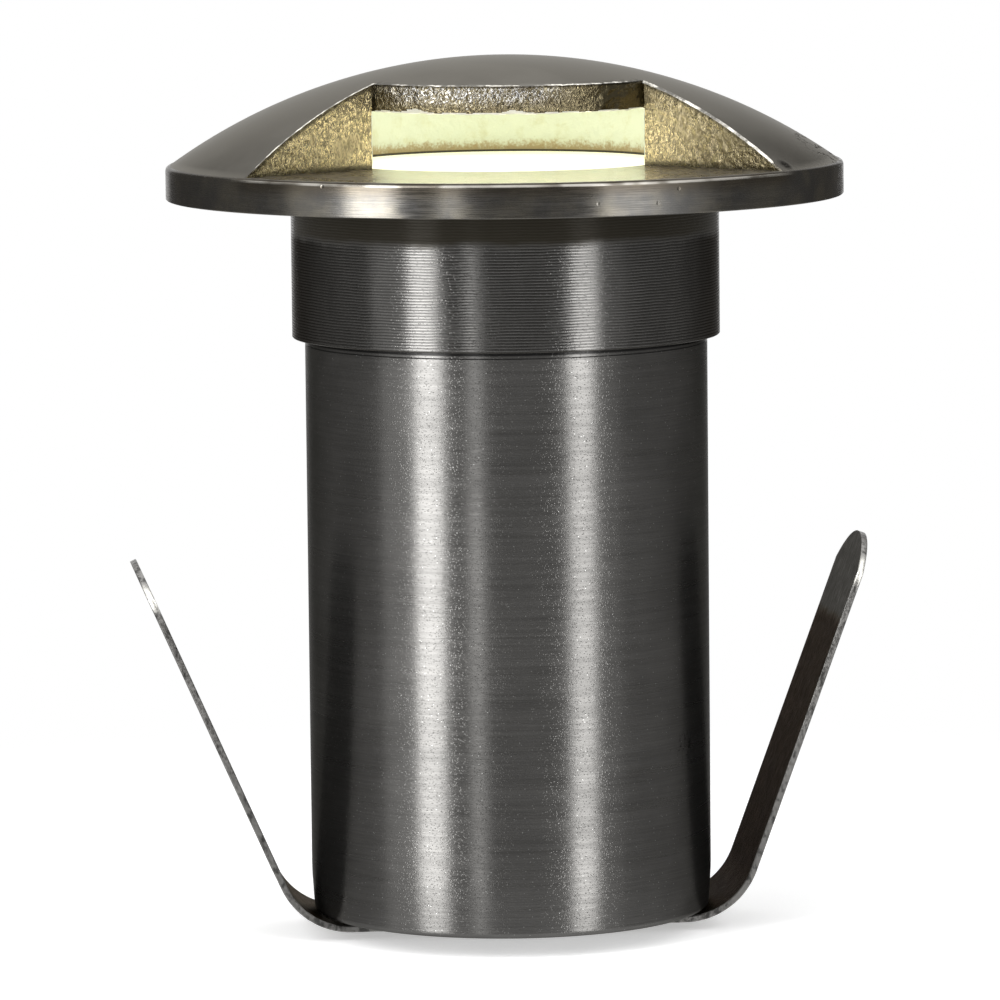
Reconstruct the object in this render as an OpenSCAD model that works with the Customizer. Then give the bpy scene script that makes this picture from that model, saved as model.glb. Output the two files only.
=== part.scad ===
// In-ground well light with a domed cap that is open on one side.
// Lengths are in millimetres. Z is up, and zero is the deck's surface under the flange.
// The window faces -Y.

/* [Cap] */
// Width of the flange across its rim
cap_d = 64; // [60:0.5:70]
// Height of the rim's upright face
rim_h = 2.7; // [2.4:0.1:3.2]
// Rounding of the rim's upper edge
rim_round = 0.45; // [0.3:0.05:0.6]
// Height of the dome's top above the deck
dome_h = 13.2; // [12.4:0.1:16]
// Outer width of the skirt that goes into the hole
skirt_d = 40.5; // [40.3:0.1:43]
// Length of the skirt below the flange
skirt_l = 13.2; // [11:0.1:16]
// Bevel of the skirt's and the tube's ends
end_bevel = 0.3; // [0.1:0.05:0.4]

/* [Light window] */
// Width of the round wall over the window, measured across the axis
lintel_d = 30; // [28.5:0.1:30.2]
// Width of the window between its two inner corners
window_w = 25; // [20:0.5:26]
// Angle that each side wall of the window opens at, from the way that it faces
window_spread = 47; // [40:1:55]
// Width of the bore that the light comes up
light_bore_d = 30.6; // [30.4:0.1:31]
// Height of the opening between the floor and the bore's ceiling
opening_h = 5.25; // [4.4:0.05:5.6]
// Step from the top of the rim to the window's floor
floor_step = 0.05; // [0.05:0.05:0.2]
// Thickness of the floor's lip over the glass flange
lip_t = 1.7; // [1.3:0.1:2]

/* [Glass] */
// Width of the glass flange
glass_flange_d = 36.3; // [35.7:0.1:36.5]
// Thickness of the glass flange
glass_flange_t = 2.8; // [2:0.1:3.2]
// Gap round the glass inside the cap
glass_gap = 0.3; // [0.2:0.05:0.35]
// Thickness of the gasket over the glass flange
upper_gasket_t = 0.5; // [0.4:0.1:0.8]
// Thickness of the gasket under the glass
lower_gasket_t = 1; // [0.8:0.1:1.5]
// Width of each gasket's face
gasket_w = 1.9; // [1.4:0.1:2.1]

/* [Housing tube] */
// Outer width of the tube
tube_d = 38.1; // [37.6:0.1:38.2]
// Wall of the tube
tube_wall = 1.5; // [1:0.1:1.8]
// Depth of the base's underside below the deck
housing_depth = 68; // [67:0.5:90]
// Height over which the tube's foot draws in
foot_h = 3.6; // [2:0.2:5]
// How far the tube's foot draws in
foot_taper = 0.2; // [0.1:0.05:0.3]
// Rounding of the tube's lower edge
foot_edge = 0.6; // [0.4:0.1:0.9]
// Thickness of the base plate
base_t = 3; // [2:0.5:4]
// How far the threaded end is turned down
thread_skim = 0.1; // [0.05:0.05:0.2]
// Running clearance between the cap's bore and the threaded end
thread_fit = 0.07; // [0.05:0.01:0.09]
// Height of the rubber ring in the skirt's lower end
skirt_seal_h = 1.4; // [1:0.1:2]
// Thickness of the rubber ring in the skirt's lower end
skirt_seal_t = 0.6; // [0.4:0.05:0.7]

/* [Spring clip] */
// Width of the spring strip
clip_w = 12.7; // [10:0.1:14]
// Thickness of the spring strip
clip_t = 0.6; // [0.4:0.05:0.8]
// Turn of the clip from square to the window
clip_turn = 3.8; // [0:0.2:10]
// Half the flat length under the base
clip_flat = 15.9; // [15.7:0.1:16.8]
// Radius of each bend, at the middle of the strip
clip_bend_r = 7; // [6.8:0.1:8.5]
// Straight length of each arm
clip_arm_l = 33.4; // [24:0.2:36]
// Angle of the left arm from upright
clip_splay_left = 23.6; // [18:0.2:28]
// Angle of the right arm from upright
clip_splay_right = 20.2; // [18:0.2:28]
// Angle round the bend at which the arm starts to flex
clip_flex_angle = 35; // [34:1:40]
// Height of each arm's curved tip
clip_tip_h = 3.4; // [2.5:0.1:4.5]
// Gap at the root of each flexing arm
clip_gap = 0.1; // [0.05:0.01:0.15]

/* [Cable entry] */
// Outer width of the threaded bushing
bushing_d = 7; // [6.4:0.1:7.4]
// Bore of the bushing, for the cable
cable_bore_d = 4.6; // [4:0.1:5]
// Width across the flats of the bushing's thin head, under the strip
bushing_head_w = 10; // [9.4:0.2:11]
// Thickness of the bushing's head
bushing_head_t = 0.8; // [0.6:0.1:1.2]
// Width across the flats of the lock nut inside the housing
nut_w = 11; // [10.6:0.1:11.2]
// Thickness of the lock nut
nut_t = 2.2; // [1.6:0.1:2.6]
// Thickness of the washer between the base and the strip
base_washer_t = 0.5; // [0.5:0.1:1]
// Width of the washer between the base and the strip
base_washer_d = 16; // [13:0.5:18]
// Clearance of the holes round the bushing
bushing_fit = 0.1; // [0.05:0.01:0.15]

/* [Light engine] */
// Height of the moulded ring that centres the reflector
holder_h = 12.4; // [11:0.1:14]
// Wall of the moulded ring
holder_wall = 2.2; // [1.8:0.1:2.4]
// Width of the reflector's mouth
reflector_mouth_d = 28; // [24:0.5:28.4]
// Width of the reflector's throat
reflector_throat_d = 9.2; // [8.8:0.1:10]
// Wall of the reflector
reflector_t = 0.7; // [0.5:0.1:0.8]
// Thickness of the metal-cored board
led_board_t = 1.6; // [1:0.1:2]
// Width of the square emitter base
chip_w = 12; // [11.4:0.2:13]
// Thickness of the emitter base
chip_t = 0.9; // [0.7:0.1:1.2]
// Width of the glowing disc on the emitter
phosphor_d = 8.2; // [7:0.2:8.4]
// Thickness of the glowing disc
phosphor_t = 0.4; // [0.2:0.1:0.6]
// Thickness of the thermal pad
pad_t = 0.5; // [0.3:0.1:1]
// Number of screws that hold the board
screw_count = 3; // [2:1:4]
// Width of each screw's shank
screw_d = 2; // [1.6:0.1:2.4]
// Width of each screw's head
screw_head_d = 3.8; // [3.4:0.1:4]
// Height of each screw's head
screw_head_h = 1.3; // [1:0.1:1.6]
// Distance of the screws from the axis
screw_ring_r = 12.3; // [12:0.1:12.6]

/* [Heat sink] */
// Thickness of the heat sink's disc
sink_disc_t = 3; // [2:0.2:4]
// Length of the fins below the disc
fin_l = 11; // [6:0.5:12]
// Number of fins
fin_count = 16; // [8:4:20]
// Thickness of each fin
fin_t = 1.2; // [0.8:0.1:1.4]
// Width of the solid core that the fins stand on
sink_core_d = 13; // [10:0.5:13]

/* [Driver] */
// Width of the upright circuit board
driver_w = 29; // [27:0.5:30]
// Clearance between the circuit board's top and the fins
driver_gap = 5.2; // [4:0.2:7]
// Thickness of the upright circuit board
driver_t = 1.2; // [0.8:0.1:1.6]
// Gap between the tall parts that stand in a row on the circuit board
part_gap = 0.6; // [0.4:0.1:1]
// Distance of the circuit board's face from the axis
driver_offset = 6.6; // [6.5:0.1:7.2]
// Height of the cast resin over the base
potting_h = 8; // [6:0.5:9]
// Width of the inductor
inductor_d = 10; // [8:0.5:10.5]
// Height of the inductor from the board
inductor_h = 7.5; // [6:0.5:9]
// Width of each capacitor
capacitor_d = 8; // [6:0.5:8.5]
// Height of each capacitor from the board
capacitor_h = 11; // [8:0.5:12]
// Width of each of the two wires
lead_d = 1.3; // [1:0.1:1.5]
// Distance between the two wires
lead_spacing = 7; // [6:0.2:8]

/* [Hidden] */

$fn = 96;
dome_facets = 360;
hex_sides = 6;

// Overrun of every cut past the face that it goes through
overrun = 1;
// Slip fit of fixed pieces inside the tube
slip_fit = 0.05;
// Gap between pieces that lie close without touching
rest_gap = 0.1;

// Cap
cap_r = cap_d / 2;
rim_top = rim_h + rim_round;
dome_foot_r = cap_r - rim_round;
dome_rise = dome_h - rim_top;
dome_r = (dome_foot_r * dome_foot_r + dome_rise * dome_rise) / (2 * dome_rise);
dome_centre = dome_h - dome_r;
skirt_r = skirt_d / 2;

// Window
floor_z = rim_top + floor_step;
ceiling_z = floor_z + opening_h;
lintel_r = lintel_d / 2;
light_bore_r = light_bore_d / 2;
window_corner = [window_w / 2, -sqrt(lintel_r * lintel_r - window_w * window_w / 4)];
window_side = [sin(window_spread), -cos(window_spread)];
window_mouth = window_corner + cap_d * window_side;
window_start = window_corner - overrun * window_side;

// Glass stack, from the shoulder in the cap down to the tube's end
shoulder_z = floor_z - lip_t;
glass_flange_r = glass_flange_d / 2;
// The raised disc passes up the light bore and leaves the upper gasket its width
glass_r = min(light_bore_r, glass_flange_r - gasket_w) - glass_gap;
glass_edge = 0.25;
recess_r = glass_flange_r + glass_gap;
glass_flange_top = shoulder_z - upper_gasket_t;
glass_bottom = glass_flange_top - glass_flange_t;
tube_top = glass_bottom - lower_gasket_t;

// Housing tube and the threaded end that the skirt screws over
tube_r = tube_d / 2;
tube_bore_r = tube_r - tube_wall;
inside_r = tube_bore_r - slip_fit;
base_z = -housing_depth;
base_top = base_z + base_t;
thread_r = tube_r - thread_skim;
skirt_bore_r = thread_r + thread_fit;
thread_runout = 0.6;
skirt_bore_top = tube_top + thread_runout;
thread_end = -skirt_l - thread_runout;
seal_seat_r = skirt_bore_r + skirt_seal_t;
foot_corner = [tube_r - foot_taper - foot_edge, base_z + foot_edge];
foot_steps = 5;

// Spring clip, with the strip's middle face as its reference
clip_mid_z = base_z - base_washer_t - clip_t / 2;
clip_bend_z = clip_mid_z + clip_bend_r;
bend_steps = 12;
root_steps = 8;
bridge_end_angle = clip_flex_angle - 2 * asin((clip_t / 2 + clip_gap) / (2 * clip_bend_r));
clip_tip_r = (clip_w * clip_w / 4 + clip_tip_h * clip_tip_h) / (2 * clip_tip_h);

// Cable entry
bushing_r = bushing_d / 2;
bushing_hole_r = bushing_r + bushing_fit;
bushing_head_r = bushing_head_w / sqrt(3);
bushing_low = clip_mid_z - clip_t / 2 - bushing_head_t;
bushing_top = base_top + nut_t + 0.3 * nut_t;
bushing_edge = 0.3;
cable_bore_r = cable_bore_d / 2;
cable_seal_r = cable_bore_r + 0.5 * (bushing_r - cable_bore_r);
cable_seal_h = 2.1;
cable_seal_floor = bushing_top - cable_seal_h;
o_ring_section_r = 0.5;
o_ring_r = bushing_r + o_ring_section_r + bushing_fit / 2;
o_ring_seat_r = o_ring_r + o_ring_section_r + bushing_fit / 2;
o_ring_seat_h = 1.9 * o_ring_section_r;
nut_r = nut_w / sqrt(3);
nut_bevel = 0.35;

// Light engine
holder_top = tube_top - 0.4 * lower_gasket_t;
holder_bore_r = inside_r - holder_wall;
led_board_top = holder_top - holder_h;
led_board_low = led_board_top - led_board_t;
sink_top = led_board_low - pad_t;
sink_low = sink_top - sink_disc_t - fin_l;
reflector_low = led_board_top + chip_t + rest_gap;
reflector_flange_t = 0.8;
reflector_flange_r = holder_bore_r + 0.45 * holder_wall;
mouth_r = reflector_mouth_d / 2;
throat_r = reflector_throat_d / 2;
reflector_steps = 8;
screw_l = led_board_t + pad_t + 0.8 * sink_disc_t;
screw_socket_r = 0.3 * screw_head_d;
fin_angle = 360 / fin_count;

// Driver
driver_foot = base_top + rest_gap;
driver_top = sink_low - driver_gap;
driver_h = driver_top - driver_foot;
driver_back = driver_offset + driver_t;
potting_top = base_top + potting_h;
// Heights on the circuit board, as shares of what stands above the cast resin
tall_row_share = 0.62;
flat_row_share = 0.5;
inductor_x = -capacitor_d - part_gap;
capacitor_step = capacitor_d + part_gap;
capacitor_x = inductor_x + inductor_d / 2 + part_gap + capacitor_d / 2;
driver_chip_size = [5, 1.5, 4];
driver_chip_x = -0.3 * driver_w;
chip_leg_size = [0.4, 0.5, 1];
chip_legs = 4;
diode_size = [4, 2.2, 2.4];
diode_x = 0.3 * driver_w;
lead_r = lead_d / 2;
lead_x = lead_spacing / 2;
lead_y = driver_back + lead_r;
lead_hole_r = lead_r + 0.2 * lead_d;
lead_low = driver_top - 4 * lead_d;
solder_r = 1.1 * lead_d;
solder_h = 0.7 * lead_d;

// Shared shapes

// A ring about the axis, between two heights.
module ring(outer_r, inner_r, low, high) {
    translate([0, 0, low])
        difference() {
            cylinder(r = outer_r, h = high - low);
            translate([0, 0, -overrun])
                cylinder(r = inner_r, h = high - low + 2 * overrun);
        }
}

// The places of the board's screws.
module at_screws() {
    for (i = [0 : screw_count - 1])
        rotate([0, 0, 270 + 360 * i / screw_count])
            translate([screw_ring_r, 0, 0])
                children();
}

// The places of the two wires.
module at_leads() {
    for (side = [-1, 1])
        translate([side * lead_x, lead_y, 0])
            children();
}

// A place on the circuit board's front, at a share of its height above the cast resin.
module on_driver_front(x, height_share) {
    translate([x, driver_offset, potting_top + height_share * (driver_top - potting_top)])
        children();
}

// The same on the circuit board's back.
module on_driver_back(x, height_share) {
    translate([x, driver_back, potting_top + height_share * (driver_top - potting_top)])
        mirror([0, 1, 0])
            children();
}

// Cap

// Half section of the dome, carried out into the rim's rounding and down into the flange.
module dome_section() {
    intersection() {
        translate([0, dome_centre])
            circle(r = dome_r, $fn = dome_facets);
        square([dome_foot_r + rim_round / 2, dome_h]);
    }
}

// Half section of the flange with its rounded rim, and of the skirt.
module flange_section() {
    translate([dome_foot_r, rim_h])
        circle(r = rim_round);
    polygon([
        [0, rim_h],
        [cap_r, rim_h],
        [cap_r, 0],
        [skirt_r, 0],
        [skirt_r, end_bevel - skirt_l],
        [skirt_r - end_bevel, -skirt_l],
        [0, -skirt_l]
    ]);
}

// The window's plan: a spreading mouth up to the round wall of the lintel.
module window_plan() {
    difference() {
        polygon([
            window_start,
            window_mouth,
            [-window_mouth[0], window_mouth[1]],
            [-window_start[0], window_start[1]]
        ]);
        circle(r = lintel_r);
    }
}

// Stepped bore of the cap: light bore, glass recess, threaded bore and the seal's seat.
module cap_bore() {
    translate([0, 0, shoulder_z - overrun])
        cylinder(r = light_bore_r, h = ceiling_z - shoulder_z + overrun);
    translate([0, 0, skirt_bore_top - overrun])
        cylinder(r = recess_r, h = shoulder_z - skirt_bore_top + overrun);
    translate([0, 0, -skirt_l - overrun])
        cylinder(r = skirt_bore_r, h = skirt_bore_top + skirt_l + overrun);
    translate([0, 0, -skirt_l - overrun])
        cylinder(r = seal_seat_r, h = skirt_seal_h + overrun);
}

module dome_cap() {
    color([0.62, 0.60, 0.57])
        difference() {
            union() {
                rotate_extrude()
                    dome_section();
                rotate_extrude()
                    flange_section();
            }
            cap_bore();
            translate([0, 0, floor_z])
                linear_extrude(height = dome_h)
                    window_plan();
        }
}

module skirt_seal() {
    color([0.08, 0.08, 0.08])
        ring(seal_seat_r, skirt_bore_r, -skirt_l, skirt_seal_h - skirt_l);
}

// Glass

module glass_lens() {
    color([0.95, 0.97, 0.9, 0.6])
        rotate_extrude()
            polygon([
                [0, glass_bottom],
                [glass_flange_r - glass_edge, glass_bottom],
                [glass_flange_r, glass_bottom + glass_edge],
                [glass_flange_r, glass_flange_top],
                [glass_r, glass_flange_top],
                [glass_r, floor_z - glass_edge],
                [glass_r - glass_edge, floor_z],
                [0, floor_z]
            ]);
}

module glass_gasket_upper() {
    color([0.1, 0.1, 0.1])
        ring(glass_flange_r, glass_flange_r - gasket_w, glass_flange_top, shoulder_z);
}

module glass_gasket_lower() {
    color([0.85, 0.83, 0.8])
        ring(glass_flange_r, glass_flange_r - gasket_w, tube_top, glass_bottom);
}

// Housing

module body_tube() {
    color([0.74, 0.73, 0.71])
        rotate_extrude()
            polygon([
                [tube_bore_r, base_z],
                [tube_r - foot_taper - foot_edge, base_z],
                for (i = [1 : foot_steps])
                    foot_corner + foot_edge * [sin(90 * i / foot_steps), -cos(90 * i / foot_steps)],
                [tube_r, base_z + foot_h],
                [tube_r, thread_end - thread_skim],
                [thread_r, thread_end],
                [thread_r, tube_top - end_bevel],
                [thread_r - end_bevel, tube_top],
                [tube_bore_r, tube_top]
            ]);
}

module base_plate() {
    color([0.7, 0.7, 0.68])
        difference() {
            ring(inside_r, bushing_hole_r, base_z, base_top);
            translate([0, 0, base_top - o_ring_seat_h])
                cylinder(r = o_ring_seat_r, h = o_ring_seat_h + overrun);
        }
}

module base_washer() {
    color([0.15, 0.15, 0.15])
        ring(base_washer_d / 2, bushing_hole_r, base_z - base_washer_t, base_z);
}

// Spring clip

// Start of the bend on the +X side, as far as the arm's root.
module bridge_end() {
    translate([clip_flat, clip_w / 2, clip_bend_z])
        rotate([90, 0, 0])
            rotate_extrude(angle = bridge_end_angle, start = -90)
                translate([clip_bend_r - clip_t / 2, 0])
                    square([clip_t, clip_w]);
}

// Outward direction from the centre of the bend, at an angle round it.
function bend_at(angle) = [sin(angle), -cos(angle)];

// Side view of an arm about the centre of its bend: round root, rest of the bend and straight.
module arm_profile(splay) {
    angles = [
        for (i = [0 : bend_steps])
            clip_flex_angle + (90 - splay - clip_flex_angle) * i / bend_steps
    ];
    tip = clip_bend_r * bend_at(90 - splay) + clip_arm_l * [sin(splay), cos(splay)];
    root = clip_bend_r * bend_at(clip_flex_angle);
    polygon([
        for (angle = angles)
            (clip_bend_r + clip_t / 2) * bend_at(angle),
        tip + clip_t / 2 * bend_at(90 - splay),
        tip - clip_t / 2 * bend_at(90 - splay),
        for (i = [bend_steps : -1 : 0])
            (clip_bend_r - clip_t / 2) * bend_at(angles[i]),
        for (i = [1 : root_steps - 1])
            root + clip_t / 2 * bend_at(clip_flex_angle - 180 + 180 * i / root_steps)
    ]);
}

// Face view of an arm, from below its root up to its curved tip.
module arm_outline() {
    intersection() {
        translate([-clip_w / 2, -clip_bend_r])
            square([clip_w, clip_bend_r + clip_arm_l]);
        union() {
            translate([-clip_w, -clip_bend_r])
                square([2 * clip_w, clip_bend_r + clip_arm_l - clip_tip_h]);
            translate([0, clip_arm_l - clip_tip_r])
                circle(r = clip_tip_r);
        }
    }
}

// One flexing arm on the +X side: its side view and its face view, crossed.
module clip_arm(splay) {
    translate([clip_flat, 0, clip_bend_z])
        intersection() {
            translate([0, clip_w / 2, 0])
                rotate([90, 0, 0])
                    linear_extrude(height = clip_w)
                        arm_profile(splay);
            rotate([0, splay, 0])
                rotate([90, 0, 90])
                    linear_extrude(height = 2 * clip_bend_r)
                        arm_outline();
        }
}

module clip_bridge() {
    color([0.45, 0.44, 0.43])
        rotate([0, 0, clip_turn]) {
            difference() {
                translate([-clip_flat, -clip_w / 2, clip_mid_z - clip_t / 2])
                    cube([2 * clip_flat, clip_w, clip_t]);
                translate([0, 0, clip_mid_z - clip_t / 2 - overrun])
                    cylinder(r = bushing_hole_r, h = clip_t + 2 * overrun);
            }
            bridge_end();
            rotate([0, 0, 180])
                bridge_end();
        }
}

module clip_arm_left() {
    color([0.45, 0.44, 0.43])
        rotate([0, 0, clip_turn + 180])
            clip_arm(clip_splay_left);
}

module clip_arm_right() {
    color([0.45, 0.44, 0.43])
        rotate([0, 0, clip_turn])
            clip_arm(clip_splay_right);
}

// Cable entry

module cable_bushing() {
    color([0.78, 0.72, 0.5])
        difference() {
            union() {
                translate([0, 0, bushing_low])
                    cylinder(r = bushing_head_r, h = bushing_head_t, $fn = hex_sides);
                rotate_extrude()
                    polygon([
                        [0, bushing_low],
                        [bushing_r, bushing_low],
                        [bushing_r, bushing_top - bushing_edge],
                        [bushing_r - bushing_edge, bushing_top],
                        [0, bushing_top]
                    ]);
            }
            translate([0, 0, bushing_low - overrun])
                cylinder(r = cable_bore_r, h = bushing_top - bushing_low + 2 * overrun);
            translate([0, 0, cable_seal_floor])
                cylinder(r = cable_seal_r, h = cable_seal_h + overrun);
        }
}

module bushing_o_ring() {
    color([0.1, 0.1, 0.1])
        translate([0, 0, base_top - o_ring_seat_h / 2])
            rotate_extrude()
                translate([o_ring_r, 0])
                    circle(r = o_ring_seat_h / 2, $fn = 32);
}

module cable_seal() {
    color([0.12, 0.12, 0.12])
        ring(cable_seal_r, cable_bore_r, cable_seal_floor, bushing_top);
}

// Hexagon nut with its upper corners turned off.
module lock_nut() {
    color([0.75, 0.74, 0.72])
        intersection() {
            translate([0, 0, base_top])
                difference() {
                    cylinder(r = nut_r, h = nut_t, $fn = hex_sides);
                    translate([0, 0, -overrun])
                        cylinder(r = bushing_hole_r, h = nut_t + 2 * overrun);
                }
            rotate_extrude()
                polygon([
                    [0, base_top],
                    [nut_r + nut_bevel, base_top],
                    [nut_w / 2 + 2 * nut_bevel, base_top + nut_t - nut_bevel],
                    [nut_w / 2, base_top + nut_t],
                    [0, base_top + nut_t]
                ]);
        }
}

// Light engine

// Inner radius of the reflector at a share of its height: a parabola from throat to mouth.
function reflector_at(height_share) =
    sqrt(throat_r * throat_r + (mouth_r * mouth_r - throat_r * throat_r) * height_share);

module reflector() {
    inner = [
        for (i = [0 : reflector_steps])
            [reflector_at(i / reflector_steps),
             reflector_low + (holder_top - reflector_low) * i / reflector_steps]
    ];
    outer = [
        for (i = [reflector_steps : -1 : 0])
            inner[i] + [reflector_t, 0]
    ];
    color([0.9, 0.9, 0.88])
        union() {
            rotate_extrude()
                polygon(concat(inner, outer));
            ring(reflector_flange_r, mouth_r + reflector_t / 2,
                 holder_top - reflector_flange_t, holder_top);
        }
}

module reflector_holder() {
    color([0.93, 0.93, 0.9])
        difference() {
            ring(inside_r, holder_bore_r, led_board_top, holder_top);
            translate([0, 0, holder_top - reflector_flange_t])
                cylinder(r = reflector_flange_r + slip_fit, h = reflector_flange_t + overrun);
        }
}

module led_phosphor() {
    color([1, 0.85, 0.3])
        translate([0, 0, led_board_top + chip_t])
            cylinder(r = phosphor_d / 2, h = phosphor_t);
}

module led_chip() {
    color([0.95, 0.95, 0.92])
        translate([-chip_w / 2, -chip_w / 2, led_board_top])
            cube([chip_w, chip_w, chip_t]);
}

module led_board() {
    color([0.9, 0.92, 0.9])
        difference() {
            translate([0, 0, led_board_low])
                cylinder(r = inside_r, h = led_board_t);
            at_screws()
                translate([0, 0, led_board_low - overrun])
                    cylinder(r = screw_d / 2 + rest_gap, h = led_board_t + 2 * overrun);
            at_leads()
                translate([0, 0, led_board_low - overrun])
                    cylinder(r = lead_hole_r, h = led_board_t + 2 * overrun);
        }
}

module board_screws() {
    color([0.8, 0.8, 0.78])
        at_screws()
            difference() {
                union() {
                    translate([0, 0, led_board_top])
                        cylinder(r = screw_head_d / 2, h = screw_head_h);
                    translate([0, 0, led_board_top - screw_l])
                        cylinder(r = screw_d / 2, h = screw_l + screw_head_h / 2);
                }
                translate([0, 0, led_board_top + screw_head_h / 2])
                    cylinder(r = screw_socket_r, h = screw_head_h, $fn = hex_sides);
            }
}

module thermal_pad() {
    color([0.55, 0.6, 0.75])
        difference() {
            translate([0, 0, sink_top])
                cylinder(r = inside_r, h = pad_t);
            at_screws()
                translate([0, 0, sink_top - overrun])
                    cylinder(r = screw_d / 2 + rest_gap, h = pad_t + 2 * overrun);
            at_leads()
                translate([0, 0, sink_top - overrun])
                    cylinder(r = lead_hole_r, h = pad_t + 2 * overrun);
        }
}

module heat_sink() {
    color([0.78, 0.79, 0.8])
        difference() {
            intersection() {
                union() {
                    translate([0, 0, sink_top - sink_disc_t])
                        cylinder(r = inside_r, h = sink_disc_t);
                    translate([0, 0, sink_low])
                        cylinder(r = sink_core_d / 2, h = fin_l + sink_disc_t / 2);
                    for (i = [0 : fin_count - 1])
                        rotate([0, 0, (i + 0.5) * fin_angle])
                            translate([0, -fin_t / 2, sink_low])
                                cube([tube_r, fin_t, fin_l + sink_disc_t / 2]);
                }
                translate([0, 0, sink_low - overrun])
                    cylinder(r = inside_r, h = fin_l + sink_disc_t + 2 * overrun);
            }
            at_screws()
                translate([0, 0, led_board_top - screw_l])
                    cylinder(r = screw_d / 2, h = screw_l + overrun);
            at_leads()
                translate([0, 0, sink_low - overrun])
                    cylinder(r = lead_hole_r, h = fin_l + sink_disc_t + 2 * overrun);
        }
}

// Driver

module driver_board() {
    color([0.1, 0.4, 0.2])
        translate([-driver_w / 2, driver_offset, driver_foot])
            cube([driver_w, driver_t, driver_h]);
}

// Drum core with its winding space between two flanges.
module driver_inductor() {
    flange_h = 0.16 * inductor_h;
    drum_r = inductor_d / 2;
    color([0.25, 0.25, 0.27])
        on_driver_front(inductor_x, tall_row_share)
            rotate([90, 0, 0])
                rotate_extrude()
                    polygon([
                        [0, 0],
                        [drum_r, 0],
                        [drum_r, flange_h],
                        [0.84 * drum_r, flange_h],
                        [0.84 * drum_r, inductor_h - flange_h],
                        [drum_r, inductor_h - flange_h],
                        [drum_r, inductor_h],
                        [0, inductor_h]
                    ]);
}

// Cans with the rolled neck at their foot and a bevelled top.
module driver_capacitors() {
    can_r = capacitor_d / 2;
    neck_r = 0.9 * can_r;
    neck_z = 0.16 * capacitor_h;
    roll_h = 0.06 * capacitor_h;
    color([0.2, 0.22, 0.45])
        for (i = [0, 1])
            on_driver_front(capacitor_x + i * capacitor_step, tall_row_share)
                rotate([90, 0, 0])
                    rotate_extrude()
                        polygon([
                            [0, 0],
                            [can_r, 0],
                            [can_r, neck_z - roll_h],
                            [neck_r, neck_z],
                            [can_r, neck_z + roll_h],
                            [can_r, capacitor_h - roll_h],
                            [can_r - roll_h, capacitor_h],
                            [0, capacitor_h]
                        ]);
}

// Controller in a small package with legs down both sides.
module driver_chip() {
    pitch = driver_chip_size[0] / chip_legs;
    color([0.12, 0.12, 0.13])
        on_driver_back(driver_chip_x, flat_row_share) {
            translate([-driver_chip_size[0] / 2, -driver_chip_size[1], -driver_chip_size[2] / 2])
                cube(driver_chip_size);
            for (i = [0 : chip_legs - 1], side = [-1, 1])
                translate([
                    (i + 0.5) * pitch - driver_chip_size[0] / 2 - chip_leg_size[0] / 2,
                    -chip_leg_size[1],
                    side * driver_chip_size[2] / 2 - chip_leg_size[2] / 2
                ])
                    cube(chip_leg_size);
        }
}

module driver_diodes() {
    color([0.15, 0.15, 0.15])
        for (column = [-1, 1], row = [-1, 1])
            on_driver_back(diode_x + column * (diode_size[0] + part_gap) / 2, flat_row_share)
                translate([
                    -diode_size[0] / 2,
                    -diode_size[1],
                    row * (diode_size[2] + part_gap) / 2 - diode_size[2] / 2
                ])
                    cube(diode_size);
}

// A wire from the back of the circuit board up to its solder joint on the light board.
module lead(side) {
    translate([side * lead_x, lead_y, 0]) {
        translate([0, 0, lead_low])
            cylinder(r = lead_r, h = led_board_top + solder_h - lead_low, $fn = 32);
        translate([0, 0, led_board_top])
            cylinder(r1 = solder_r, r2 = lead_r, h = solder_h, $fn = 32);
    }
}

module lead_red() {
    color([0.7, 0.1, 0.08])
        lead(-1);
}

module lead_black() {
    color([0.08, 0.08, 0.08])
        lead(1);
}

module potting_plug() {
    color([0.2, 0.2, 0.22])
        difference() {
            translate([0, 0, base_top])
                cylinder(r = inside_r, h = potting_h);
            translate([0, 0, base_top - overrun])
                cylinder(r = nut_r, h = nut_t + overrun);
            translate([0, 0, base_top - overrun])
                cylinder(r = bushing_r, h = bushing_top - base_top + overrun);
            translate([-driver_w / 2, driver_offset, base_top - overrun])
                cube([driver_w, driver_t, potting_h + 2 * overrun]);
        }
}

dome_cap();
skirt_seal();
glass_lens();
glass_gasket_upper();
glass_gasket_lower();
body_tube();
base_plate();
base_washer();
clip_bridge();
clip_arm_left();
clip_arm_right();
cable_bushing();
bushing_o_ring();
cable_seal();
lock_nut();
reflector();
reflector_holder();
led_phosphor();
led_chip();
led_board();
board_screws();
thermal_pad();
heat_sink();
driver_board();
driver_inductor();
driver_capacitors();
driver_chip();
driver_diodes();
lead_red();
lead_black();
potting_plug();
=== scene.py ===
"""Looks of an in-ground well light with a domed cap that is open on one side.

Lengths are in metres, but settings and finishes are given theirs in millimetres. The sizes and colours that
a user would change are properties of the scene.
"""
import math

import bmesh
import bpy
from bpy.props import FloatProperty, FloatVectorProperty, PointerProperty
from mathutils import Matrix, Vector, noise


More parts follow.
